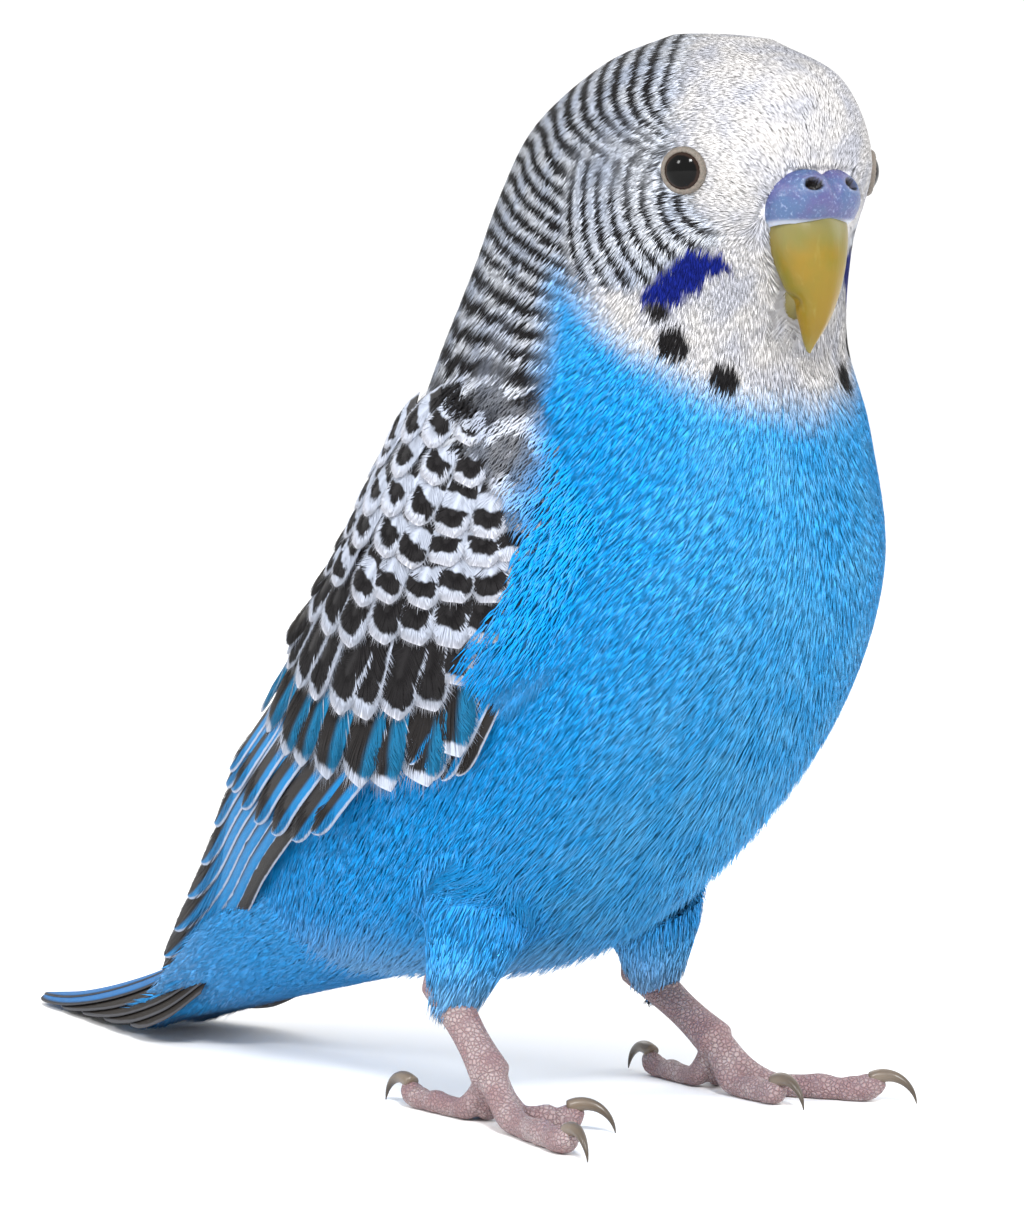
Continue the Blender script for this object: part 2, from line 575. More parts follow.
def body_marks(position, turn):
    """Shares of black, blue, violet and deep shade at places on the body."""
    raw = body_raw(position, turn)
    even = np.stack([raw[..., 0], raw[..., 1], np.abs(raw[..., 2])], -1)
    side = np.abs(np.degrees(turn))
    wobble, fine, slow = speckle(raw, 3.0, 1), speckle(raw, 0.6, 2), speckle(raw, 5.0, 3)
    black, barred = barred_marks(even, raw, position, side, wobble, fine, slow)
    blue = blue_share(raw[..., 1], position, side, wobble, fine, slow)
    black = black * (1 - blue**3)
    tint = 0.14 * barred * (1 - blue)
    violet, spot = face_spots(even, fine)
    black = np.maximum(black * (1 - violet), spot)
    deep = soft(15, 65, side) * soft(0.3, 1.5, position) * (1 - 0.5 * soft(7.0, 8.0, position))
    return np.stack([black, np.maximum(blue, tint), violet * (1 - spot), deep], -1)


def blue_marks(blue, deep):
    """Marks of feathers that are blue all over, by their share of blue and of deep shade."""
    marks = np.zeros((len(blue), 4))
    marks[:, 1], marks[:, 3] = blue, deep
    return marks


# Meshes


def mesh_from_arrays(name, points, faces, marks=None, lie=None, uv=None, facing=None):
    """An object from arrays: points in metres, faces as rows of equal count, and its attributes."""
    mesh = bpy.data.meshes.new(name)
    sides = faces.shape[1]
    mesh.vertices.add(len(points))
    mesh.vertices.foreach_set("co", np.ascontiguousarray(points, np.float32).ravel())
    mesh.loops.add(faces.size)
    mesh.loops.foreach_set("vertex_index", np.ascontiguousarray(faces, np.int32).ravel())
    mesh.polygons.add(len(faces))
    mesh.polygons.foreach_set("loop_start", np.arange(0, faces.size, sides, dtype=np.int32))
    mesh.polygons.foreach_set("loop_total", np.full(len(faces), sides, np.int32))
    mesh.update(calc_edges=True)
    mesh.polygons.foreach_set("use_smooth", np.full(len(faces), True))
    for layer, values in (("marks", marks), ("lie", lie), ("facing", facing)):
        if values is not None:
            set_points_layer(mesh, layer, "FLOAT_COLOR" if layer == "marks" else "FLOAT_VECTOR", values)
    if uv is not None:
        layer = mesh.uv_layers.new(name="OFBake")
        layer.data.foreach_set("uv", np.ascontiguousarray(uv[faces.ravel()], np.float32).ravel())
    mesh.validate()
    obj = bpy.data.objects.new(name, mesh)
    bpy.context.scene.collection.objects.link(obj)
    return obj


def finish_piece(obj, material, slot, *nodes):
    """Gives a piece its material, its body and the nodes it stands for."""
    obj.data.materials.clear()
    obj.data.materials.append(material)
    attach(obj, "root")
    if nodes:
        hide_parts(*nodes)
    return obj


def tuft_arrays(lines, normals, widths, ridge=0.13):
    """Closed slender tufts, pointed at both ends, along lines of three points each, in millimetres on the bird."""
    root, middle, tip = lines[:, 0], lines[:, 1], lines[:, 2]
    cross = unit(np.cross(tip - root, normals)) * widths[:, None] / 2
    points = np.stack([root, middle - cross, middle + cross, middle + normals * widths[:, None] * ridge, tip], 1)
    faces = (TUFT_FACES[None] + len(TUFT_SHARE) * np.arange(len(lines))[:, None, None]).reshape(-1, 3)
    return points.reshape(-1, 3), faces


# A tuft's five points: which of its line's three points each takes its marks from, and its place in the bake
TUFT_FACES = np.array(((0, 1, 2), (0, 2, 3), (0, 3, 1), (1, 4, 2), (2, 4, 3), (3, 4, 1)))
TUFT_SHARE = np.array((0, 1, 1, 1, 2))
TUFT_PATCH = np.array(((0, 0), (-0.5, 0.5), (0.5, 0.5), (0, 0.55), (0, 1.0))) * 0.003


def tuft_lies(chance, count):
    """Lies of tufts: the share along each at its three points, and one random number for each."""
    lies = np.zeros((count, 3, 3))
    lies[:, :, 0] = (0, 0.5, 1)
    lies[:, :, 1] = chance.random(count)[:, None]
    return lies


def make_tufts(name, lines, normals, widths, marks, lies, roots_uv, material, slot, ridge=0.13):
    """Tufts as objects that each stay under the triangle limit. Lies are given for the three points of a line."""
    per_piece = PIECE_LIMIT // len(TUFT_FACES)
    pieces = max(1, math.ceil(len(lines) / per_piece))
    for i in range(pieces):
        part = slice(i * len(lines) // pieces, (i + 1) * len(lines) // pieces)
        points, faces = tuft_arrays(lines[part], normals[part], widths[part], ridge)
        tuft_marks = marks[part][:, None].repeat(len(TUFT_SHARE), 1)
        uv = (roots_uv[part][:, None] + TUFT_PATCH[None]).reshape(-1, 2)
        label = name if pieces == 1 else f"{name}_{i + 1}"
        lie = lies[part][:, TUFT_SHARE].reshape(-1, 3)
        facing = frame_way(normals[part]).repeat(len(TUFT_SHARE), 0)
        obj = mesh_from_arrays(label, frame_point(points), faces, tuft_marks.reshape(-1, 4), lie, uv, facing)
        finish_piece(obj, material, slot)


def grid_faces(rows, columns, closed):
    """Faces of a grid of points. A closed one joins its last column to its first."""
    faces = []
    for i in range(rows - 1):
        for j in range(columns if closed else columns - 1):
            k = (j + 1) % columns
            faces.append((i * columns + j, i * columns + k, (i + 1) * columns + k, (i + 1) * columns + j))
    return faces


def bmesh_of_grid(grid):
    """A closed bmesh from rings of points in metres, capped with fans."""
    bm = bmesh.new()
    rows, columns = grid.shape[:2]
    verts = [bm.verts.new(point) for point in grid.reshape(-1, 3)]
    for face in grid_faces(rows, columns, True):
        bm.faces.new([verts[i] for i in face])
    for start in (0, (rows - 1) * columns):
        cap = bm.faces.new(verts[start : start + columns])
        bmesh.ops.poke(bm, faces=[cap])
    bmesh.ops.recalc_face_normals(bm, faces=bm.faces[:])
    if bm.calc_volume(signed=True) < 0:
        bmesh.ops.reverse_faces(bm, faces=bm.faces[:])
    return bm


def object_of_grids(name, grids):
    """One object of several closed shapes."""
    whole = bmesh.new()
    for grid in grids:
        bm = bmesh_of_grid(grid)
        mesh = bpy.data.meshes.new("piece")
        bm.to_mesh(mesh)
        bm.free()
        whole.from_mesh(mesh)
        bpy.data.meshes.remove(mesh)
    mesh = bpy.data.meshes.new(name)
    whole.to_mesh(mesh)
    whole.free()
    mesh.shade_smooth()
    obj = bpy.data.objects.new(name, mesh)
    bpy.context.scene.collection.objects.link(obj)
    return obj


def remeshed(obj, voxel, smoothing):
    """Joins an object's shapes into one even skin."""
    modifier = obj.modifiers.new("join", "REMESH")
    modifier.mode = "VOXEL"
    modifier.voxel_size = voxel * MM
    modifier.use_smooth_shade = True
    if smoothing:
        relax = obj.modifiers.new("relax", "SMOOTH")
        relax.iterations = smoothing
    bpy.context.view_layer.update()
    mesh = bpy.data.meshes.new_from_object(obj.evaluated_get(bpy.context.evaluated_depsgraph_get()))
    if not mesh.polygons:
        raise RuntimeError(f"{obj.name}: nothing is left after it is joined")
    obj.modifiers.clear()
    old, obj.data = obj.data, mesh
    bpy.data.meshes.remove(old)
    return obj


def set_points_layer(mesh, name, kind, values):
    layer = mesh.attributes.new(name, kind, "POINT")
    field = "color" if kind == "FLOAT_COLOR" else "vector"
    layer.data.foreach_set(field, np.ascontiguousarray(values, np.float32).ravel())


def mesh_points(mesh):
    points = np.empty(len(mesh.vertices) * 3, np.float32)
    mesh.vertices.foreach_get("co", points)
    return points.reshape(-1, 3)


def bird_points(points):
    """The frame's metres as millimetres on the bird."""
    p = np.asarray(points, float) / MM
    return np.stack([-p[..., 1] - MIDDLE_BACK, p[..., 2], p[..., 0] + MIDDLE_ACROSS], -1)


# Materials


class Shades:
    """A material whose nodes are added one at a time."""

    def __init__(self, name, roughness=0.5, specular=0.4):
        self.material = bpy.data.materials.new(name)
        self.material.use_nodes = True
        self.tree = self.material.node_tree
        self.shader = self.tree.nodes["Principled BSDF"]
        self.set("Roughness", roughness)
        self.set("Specular IOR Level", specular)

    def fill(self, socket, value):
        """Links a socket to another node's output, or sets it to a value."""
        if isinstance(value, bpy.types.NodeSocket):
            self.tree.links.new(value, socket)
        elif hasattr(value, "__len__") and socket.type == "RGBA":
            socket.default_value = (*value[:3], 1)
        else:
            socket.default_value = value

    def set(self, socket, value):
        self.fill(self.shader.inputs[socket], value)

    def node(self, kind, output=0, inputs=None, **settings):
        """Adds a node and gives one of its outputs."""
        made = self.tree.nodes.new(kind)
        for key, value in settings.items():
            setattr(made, key, value)
        for key, value in (inputs or {}).items():
            self.fill(made.inputs[key], value)
        return made.outputs[output]

    def attribute(self, name, output="Vector"):
        return self.node("ShaderNodeAttribute", output, attribute_name=name)

    def lie(self):
        """The three numbers of the lie."""
        return tuple(self.node("ShaderNodeSeparateXYZ", 0, {0: self.attribute("lie")}).node.outputs)

    def marks(self):
        """The four numbers of the marks."""
        source = self.attribute("marks", "Color")
        split = self.node("ShaderNodeSeparateColor", 0, {0: source}).node
        return (*split.outputs, source.node.outputs["Alpha"])

    def sum(self, operation, a, b=0.0):
        return self.node("ShaderNodeMath", 0, {0: a, 1: b}, operation=operation)

    def step(self, value, low, high, start=0.0, end=1.0):
        """A smooth step of a value from one level to another."""
        return self.node(
            "ShaderNodeMapRange", 0, {0: value, 1: low, 2: high, 3: start, 4: end}, interpolation_type="SMOOTHSTEP"
        )

    def mix(self, share, a, b, blend="MIX"):
        return self.node("ShaderNodeMix", 2, {0: share, 6: a, 7: b}, data_type="RGBA", blend_type=blend)

    def tinted(self, colour, white_tint, blue_tint, blue):
        """A colour with one tint on white feathers and another on blue ones."""
        return self.mix(1.0, colour, self.mix(blue, white_tint, blue_tint), "MULTIPLY")

    def noise(self, scale, detail=3.0, vector=None):
        inputs = {"Scale": scale, "Detail": detail, "Vector": self.place() if vector is None else vector}
        return self.node("ShaderNodeTexNoise", 0, inputs)

    def cells(self, scale):
        """Distance to the edges of small cells."""
        inputs = {"Scale": scale, "Vector": self.place()}
        return self.node("ShaderNodeTexVoronoi", 0, inputs, feature="DISTANCE_TO_EDGE")

    def place(self):
        """The surface's own place in metres."""
        return self.node("ShaderNodeTexCoord", "Object")

    def bump(self, height, strength, distance, soften=0.0):
        """Fine relief. Softened, the surface also leans towards the way that the body under it faces."""
        relief = self.node("ShaderNodeBump", 0, {"Height": height, "Strength": strength, "Distance": distance})
        if soften:
            facing = self.attribute("facing")
            relief = self.node("ShaderNodeMix", 1, {0: soften, 4: relief, 5: facing}, data_type="VECTOR")
            relief = self.node("ShaderNodeVectorMath", 0, {0: relief}, operation="NORMALIZE")
        self.set("Normal", relief)


def coat_material(name, looks, strands=True):
    """Small feathers, or the skin under them if it has no strands, coloured by their marks."""
    shades = Shades(name, 0.6, 0.07)
    black, blue, violet, deep = shades.marks()
    patches = shades.noise(260.0, 2.0)
    breast = shades.mix(shades.step(patches, 0.35, 0.7), looks.breast_blue, looks.pale_blue)
    breast = shades.mix(deep, breast, looks.deep_blue)
    white = shades.mix(shades.step(patches, 0.35, 0.7), looks.face_white, looks.shade_white)
    colour = shades.mix(blue, white, breast)
    colour = shades.mix(violet, colour, looks.cheek_violet)
    colour = shades.mix(black, colour, looks.bar_black)
    if strands:
        along, chance, _ = shades.lie()
        darker = shades.tinted(colour, (1.08, 1.08, 1.08), (0.88, 0.94, 0.97), blue)
        colour = shades.mix(shades.step(along, 0.1, 0.8), darker, colour)
        lighter = shades.mix(0.22, colour, (0.75, 0.88, 1.0))
        share = shades.sum("MULTIPLY", shades.step(chance, 0.5, 1.0), shades.sum("MULTIPLY", blue, 0.28))
        colour = shades.mix(share, colour, lighter)
    else:
        colour = shades.tinted(colour, (1.15, 1.15, 1.15), (1.0, 1.0, 1.0), blue)
    shades.set("Base Color", colour)
    shades.bump(shades.noise(4200.0, 2.0), 0.2, 0.00003, 0.93 if strands else 0.0)
    return shades.material


def small_feathers(looks):
    """The one material of all small feathers."""
    return bpy.data.materials.get("small_feathers") or coat_material("small_feathers", looks)


def covert_colour(shades, looks, kind, uneven):
    """Black coverts with a broad white border, and on lesser ones a white band."""
    from_tip, from_edge, _ = shades.lie()
    broad = shades.sum("MULTIPLY", shades.sum("SUBTRACT", shades.noise(150.0, 1.0), 0.5), 2.2)
    uneven = shades.sum("ADD", uneven, broad)
    away = shades.sum("ADD", from_tip, uneven)
    if kind == "lesser":
        tip = shades.sum("SUBTRACT", shades.step(away, 1.1, 1.4), shades.step(away, 2.6, 2.9))
        tip = shades.sum("ADD", tip, shades.step(away, 4.0, 4.3))
    else:
        tip = shades.step(away, 1.3, 1.65)
    edge = shades.step(shades.sum("ADD", from_edge, shades.sum("MULTIPLY", uneven, 0.6)), 0.5, 0.8)
    white = shades.mix(shades.step(from_tip, 0.0, 1.6), looks.shade_white, looks.wing_white)
    return shades.mix(shades.sum("MULTIPLY", tip, edge), white, looks.bar_black)


def web_colour(shades, looks, kind, uneven):
    """Long feathers with two webs, a dark shaft and a white fringe."""
    from_tip, from_edge, web = shades.lie()
    outer, inner, fringe, line = WEBS[kind]
    outer, inner = getattr(looks, outer), getattr(looks, inner)
    across = shades.step(from_edge, 0.1, 0.6) if kind == "tail" else shades.step(web, -0.5, -0.2, 1.0, 0.0)
    colour = shades.mix(across, inner, outer)
    stretched = {"Vector": shades.attribute("lie"), "Scale": (0.5, 3.0, 6.0)}
    streaks = shades.noise(1.5, 4.0, shades.node("ShaderNodeMapping", 0, stretched))
    colour = shades.mix(shades.step(streaks, 0.35, 0.7, 0.0, 0.25), colour, inner)
    shaft = shades.step(shades.sum("ABSOLUTE", web), 0.02, 0.06, 0.7, 0.0)
    colour = shades.mix(shaft, colour, looks.wing_dark)
    tip = shades.step(shades.sum("ADD", from_tip, uneven), fringe - 0.25, fringe + 0.25, 1.0, 0.0)
    edge = shades.sum("ADD", from_edge, shades.sum("MULTIPLY", uneven, 0.15))
    edge = shades.step(edge, line - 0.08, line + 0.08, 1.0, 0.0)
    if kind in ("primary", "outer", "edge", "secondary"):
        edge = shades.sum("MULTIPLY", edge, shades.step(web, 0.0, 0.3, 0.85, 0.15))
    if kind in ("tail", "tail_side"):
        edge, tip = shades.sum("MULTIPLY", edge, 0.1), shades.sum("MULTIPLY", tip, 0.1)
    return shades.mix(shades.sum("MAXIMUM", tip, edge), colour, looks.wing_white)


def vane_material(looks, kind):
    """Wing or tail feathers. Their lie is the distance from the tip and from the edge in mm, and the place across."""
    name = f"{kind}_feathers"
    if name in bpy.data.materials:
        return bpy.data.materials[name]
    shades = Shades(name, 0.5, 0.1)
    uneven = shades.sum("MULTIPLY", shades.sum("SUBTRACT", shades.noise(900.0, 3.0), 0.5), 1.1)
    colour_of_kind = web_colour if kind in WEBS else covert_colour
    shades.set("Base Color", colour_of_kind(shades, looks, kind, uneven))
    barbs = {"Scale": 4.0, "Distortion": 1.5, "Detail": 2.0, "Vector": shades.attribute("lie")}
    shades.bump(shades.node("ShaderNodeTexWave", 0, barbs), 0.2, 0.00005, 0.5)
    return shades.material


# Skin and coat


def thigh_line(leg):
    knee = np.array((*leg["knee"], leg["side"] * (FOOT_OUT - THIGH_IN)))
    heel = np.array((*leg["heel"], leg["side"] * FOOT_OUT))
    return [knee + (heel - knee) * share for share in (0.0, 0.3, 0.6, 0.85, 1.0)]


def thigh_axis(leg):
    """Start of a thigh's middle line and its way to the heel."""
    line = thigh_line(leg)
    return line[0], line[-1] - line[0]


def along_axis(points, start, way):
    return (points - start) @ way / (way @ way)


def skin_thighs():
    """Limb shapes of the two thighs, a little thinner than their coat."""
    grids = []
    for leg in LEGS.values():
        line = thigh_line(leg)
        hip = line[0] + np.array((2.5, 9.0, -4.5 * leg["side"]))
        grids.append(limb_grid([hip, *line], [r - 0.9 for r in (6.2, *THIGH_RADII)], 20, capped=True))
    return grids


def rump_middle(along):
    return RUMP_START + RUMP_WAY * along[..., None]


def rump(along, turn, inset=0.0):
    """The smooth underside between the belly and the tail, as a place for a share along it and a turn round it."""
    belly = body_point(RUMP_BELLY_STATION + 0 * turn, turn) * (1, 1, 0.94)
    half, depth = eased(TAIL_HALF_WIDTH, RUMP_END_STEP) * 0.78, eased(TAIL_DEPTH, RUMP_END_STEP) * 0.88
    tail = tail_spot(RUMP_END + 0 * turn, half * np.sin(turn), 0.9 + depth * (0.1 + 0.85 * np.cos(turn)), 0.4)
    place = belly + (tail - belly) * along[..., None]
    return place - unit(place - rump_middle(along)) * inset


def skin_rump():
    """A closed shape between the rump's surface and its middle."""
    along, turn = np.meshgrid(np.linspace(0, 1, 24), np.linspace(-1.3, 1.3, 28), indexing="ij")
    outer = rump(along, turn, 0.55)
    inner = rump_middle(along) + (outer - rump_middle(along)) * 0.4
    return np.concatenate([outer, inner[:, ::-1]], 1)


def ring_ways(level, rise, angles):
    """Unit ways at angles round a circle with two given axes."""
    return level * np.cos(angles)[..., None] + rise * np.sin(angles)[..., None]


def limb_grid(line, radii, sides, capped=False, floor=None):
    """Rings in millimetres round a line of points."""
    line, radii = [np.asarray(p, float) for p in line], list(radii)
    if capped:
        first = line[0] + unit(line[0] - line[1]) * radii[0] * 0.6
        last = line[-1] + unit(line[-1] - line[-2]) * radii[-1] * 0.6
        line, radii = [first, *line, last], [radii[0] * 0.55, *radii, radii[-1] * 0.55]
    rings = []
    angles = np.linspace(0, 2 * math.pi, sides, endpoint=False)
    for i, point in enumerate(line):
        way = unit(line[min(i + 1, len(line) - 1)] - line[max(i - 1, 0)])
        level = np.cross(way, (0, 1, 0))
        level = unit(level) if np.linalg.norm(level) > 0.2 else np.array((0.0, 0, 1))
        rise = unit(np.cross(level, way))
        if rise[1] < 0:
            rise = -rise
        ring = point + radii[i] * ring_ways(level, rise, angles)
        if floor is not None:
            ring[:, 1] = np.maximum(ring[:, 1], floor)
        rings.append(ring)
    return np.array(rings)


class BIRD_OT_skin(bpy.types.Operator):
    """Make the one skin under the coat of the body, neck, head and thighs"""

    bl_idname = "bird.skin"
    bl_label = "Skin"

    def execute(self, context):
        positions, turns = np.linspace(0, 12.95, 130), np.linspace(-math.pi, math.pi, 96, endpoint=False)
        position, turn = np.meshgrid(positions, turns, indexing="ij")
        normal, _, _ = body_slopes(position, turn)
        depth = coat_value(COAT_DEPTH, position)[..., None]
        grids = [frame_point(body_point(position, turn) - normal * depth)]
        grids += [frame_point(grid) for grid in (*skin_thighs(), skin_rump())]
        skin = remeshed(object_of_grids("skin", grids), SKIN_VOXEL, SKIN_SMOOTHING)
        tree = KDTree(position.size)
        flat = frame_point(body_point(position, turn)).reshape(-1, 3)
        for i, point in enumerate(flat):
            tree.insert(point, i)
        tree.balance()
        nearest = np.array([tree.find(point)[1] for point in mesh_points(skin.data)])
        marks = body_marks(position.ravel()[nearest], turn.ravel()[nearest])
        set_points_layer(skin.data, "marks", "FLOAT_COLOR", marks)
        finish_piece(
            skin, coat_material("skin", context.scene.bird_looks, False), "blue_plumage",
            "torso", "neck", "head", "thigh_left", "thigh_right",
        )
        return {"FINISHED"}


def spread_on_body(low, high, layers, chance):
    """Scatters tufts evenly on the body between two stations, as position and turn, for a coat of some layers."""
    rows, columns = int((high - low) * ROWS_PER_STATION), TURN_COLUMNS
    position_edges = np.linspace(low, high, rows + 1)
    turn_edges = np.linspace(-math.pi, math.pi, columns + 1)
    position, turn = np.meshgrid(
        (position_edges[1:] + position_edges[:-1]) / 2, (turn_edges[1:] + turn_edges[:-1]) / 2, indexing="ij"
    )
    _, along, across = body_slopes(position, turn)
    area = np.linalg.norm(np.cross(along, across), axis=-1) * (high - low) / rows * 2 * math.pi / columns
    wanted = area * (layers / (coat_value(COAT_LENGTH, position) * coat_value(COAT_WIDTH, position) * TUFT_COVER))
    wanted[1::2] = wanted[1::2, ::-1]
    total = np.cumsum(wanted.ravel())
    picks = np.arange(chance.random(), total[-1], 1.0)
    cell = np.searchsorted(total, picks)
    row, column = cell // columns, cell % columns
    column = np.where(row % 2, columns - 1 - column, column)
    position = position_edges[row] + chance.random(len(row)) * (position_edges[1] - position_edges[0])
    turn = turn_edges[column] + chance.random(len(row)) * (turn_edges[1] - turn_edges[0])
    return position, turn


def eye_spot(side):
    """Centre and outward way of an eyeball, in millimetres on the bird."""
    low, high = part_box("eye_left" if side > 0 else "eye_right")
    centre = bird_points(np.array((low + high) / 2))
    positions, turns = np.linspace(9, 11, 80), np.linspace(0.5, 1.4, 80) * side
    position, turn = np.meshgrid(positions, turns, indexing="ij")
    points = body_point(position, turn)
    nearest = np.argmin(np.linalg.norm(points - centre, axis=-1).ravel())
    normal, _, _ = body_slopes(position.ravel()[nearest : nearest + 1], turn.ravel()[nearest : nearest + 1])
    return centre, normal[0]


def bare_spots(points):
    """Which places bear no feathers: under the wings, round the eyes, and under the bill and cere."""
    bare = inside_wing(points) > BARE_IN_WING
    for side in (-1, 1):
        centre, _ = eye_spot(side)
        bare |= np.linalg.norm(points - centre, axis=-1) < BARE_ROUND_EYE
    forward, up, off = points[:, 0], points[:, 1], np.abs(points[:, 2] - BILL_MIDDLE[2])
    half = between(BARE_BILL_UP, BARE_BILL_HALF_WIDTH, up)
    return bare | (forward > 24) & (up > BARE_BILL_UP[0]) & (up < BARE_BILL_UP[-1]) & (off < half)


def beside_bill(points):
    """How much feathers at places lean in over the bill's edge, and the way that they lean."""
    off = points[:, 2] - BILL_MIDDLE[2]
    share = soft(1.8, 0.5, np.abs(off) - between(BILL_EDGE_UP, BILL_EDGE_HALF_WIDTH, points[:, 1]))
    share = share * soft(21, 22.5, points[:, 0]) * soft(83.5, 82, points[:, 1]) * soft(71, 73, points[:, 1])
    return share, np.stack([0.5 + 0 * off, -0.6 + 0 * off, -0.7 * np.sign(off)], -1)


def steps_along(along, across, way, length):
    """Changes of position and turn that lead a length along a way on the body."""
    g11, g12, g22 = dot(along, along)[:, 0], dot(along, across)[:, 0], dot(across, across)[:, 0]
    h1, h2 = dot(along, way)[:, 0], dot(across, way)[:, 0]
    span = np.maximum(g11 * g22 - g12 * g12, 1e-3)
    return (
        np.clip((g22 * h1 - g12 * h2) / span * length, -0.6, 0.6),
        np.clip((g11 * h2 - g12 * h1) / span * length, -0.5, 0.5),
    )


def lift_over_wings(line, normal):
    """Lays tufts whose tips reach a wing's edge over the wing."""
    inside = inside_wing(line[:, 2])
    s, across = wing_place(line[:, 2])
    over = (inside > -0.8) & (inside < 7) & ((s < 19) | ((across > 0) & (s < 42)))
    for side in (-1, 1):
        chosen = over & (np.sign(line[:, 2, 2]) == side)
        rise = 1.9 * soft(-0.8, 1.0, inside[chosen]) + 0.35
        lifted, _ = wing_point(s[chosen], across[chosen], np.maximum(rise, 0.41), side)
        line[chosen, 2] = lifted
        line[chosen, 1] = line[chosen, 0] * 0.45 + lifted * 0.55 + normal[chosen] * 0.5


def body_coat(name, looks):
    """Covers the body between two stations with small feathers."""
    low, high, layers, spread, ridge, seed, slot = BODY_COATS[name]
    chance = np.random.default_rng(seed)
    position, turn = spread_on_body(low, high, layers, chance)
    normal, along, across = body_slopes(position, turn)
    root = body_point(position, turn)
    keep = ~bare_spots(root)
    position, turn, normal, along, across, root = (x[keep] for x in (position, turn, normal, along, across, root))
    count = len(root)
    way = feather_flow(root, normal)
    spin = chance.normal(0, spread, count)[:, None]
    by_bill, inward = beside_bill(root)
    way = unit(way * (1 - by_bill[:, None]) + inward * by_bill[:, None] + np.cross(normal, way) * spin)
    way = unit(way - normal * dot(way, normal))
    length = coat_value(COAT_LENGTH, position) * (looks.feather_length / MM / COAT_LENGTH[-1])
    length = length * (0.75 + 0.5 * chance.random(count)) * (1 + 0.7 * by_bill)
    width = coat_value(COAT_WIDTH, position) * (looks.feather_width / MM / COAT_WIDTH[-1])
    width = width * (0.75 + 0.5 * chance.random(count))
    depth = coat_value(COAT_DEPTH, position)

    step_position, step_turn = steps_along(along, across, way, length)
    line = np.empty((count, 3, 3))
    line[:, 0] = root - normal * (depth * 1.05)[:, None]
    fluff = soft(-0.2, -0.85, normal[:, 1]) * soft(6.5, 4.5, position) * chance.random(count) ** 2
    fluff = fluff + 0.6 * by_bill * chance.random(count)
    position_half, turn_half = position + step_position * 0.5, turn + step_turn * 0.5
    facing, _, _ = body_slopes(position_half, turn_half)
    middle = body_point(position_half, turn_half) + facing * (depth * -0.3 + fluff * 0.3)[:, None]
    line[:, 1] = clear_of_thighs(middle, -0.3)
    tip_facing, _, _ = body_slopes(position + step_position, turn + step_turn)
    loose = chance.normal(0, 0.07, count) * depth + fluff
    tip = body_point(position + step_position, turn + step_turn) + tip_facing * loose[:, None]
    line[:, 2] = clear_of_thighs(tip, 0.0)
    lift_over_wings(line, facing)
    marks = body_marks(position + step_position * 0.9, turn + step_turn * 0.9)
    lies = tuft_lies(chance, count)
    uv = np.stack([turn / (2 * math.pi) * 0.96 + 0.5, position / 13.2 + 0.005], -1)
    make_tufts(name, line, facing, width, marks, lies, uv, small_feathers(looks), slot, ridge)


def clear_of_thighs(points, rise):
    """Moves places that lie inside a thigh out to its surface."""
    points = points.copy()
    for leg in LEGS.values():
        start, way = thigh_axis(leg)
        share = np.clip(along_axis(points, start, way), 0, 1)
        middle = start + share[:, None] * way
        reach = np.linalg.norm(points - middle, axis=-1)
        wanted = eased(THIGH_RADII, share * 4) + rise
        inside = (reach < wanted) & (reach > 0.5)
        stretch = (wanted / np.maximum(reach, 0.5))[inside, None]
        points[inside] = middle[inside] + (points[inside] - middle[inside]) * stretch
    return points


def coat_over(name, surface, spans, count, way, length, width, depth, marks, looks, slot, seed):
    """Small feathers on a surface that is given as a function of two numbers, each within its span."""
    chance = np.random.default_rng(seed)
    (u0, u1), (v0, v1) = spans
    u, v = u0 + (u1 - u0) * chance.random(count), v0 + (v1 - v0) * chance.random(count)
    du, dv = (u1 - u0) * 0.01, (v1 - v0) * 0.01
    root = surface(u, v)
    along, across = surface(u + du, v) - surface(u - du, v), surface(u, v + dv) - surface(u, v - dv)
    normal = unit(np.cross(along, across)) * way[2]
    spin = chance.normal(0, 0.12, count)[:, None]
    lie_way = unit(unit(along) * way[0] + unit(across) * way[1] + np.cross(normal, unit(along)) * spin)
    length = length * (0.7 + 0.6 * chance.random(count))[:, None]
    rise = (depth * (0.5 + 0.4 * chance.random(count)))[:, None]
    middle = root + lie_way * length * 0.5 + normal * depth * 0.35
    lines = np.stack([root - normal * depth, middle, root + lie_way * length + normal * rise], 1)
    lines[..., 1] = np.maximum(lines[..., 1], COAT_FLOOR)
    lies = tuft_lies(chance, count)
    uv = np.stack([(u - u0) / (u1 - u0) * 0.96 + 0.01, (v - v0) / (v1 - v0) * 0.96 + 0.01], -1)
    widths = width * (0.75 + 0.5 * chance.random(count))
    make_tufts(name, lines, normal, widths, marks(u, chance), lies, uv, small_feathers(looks), slot)


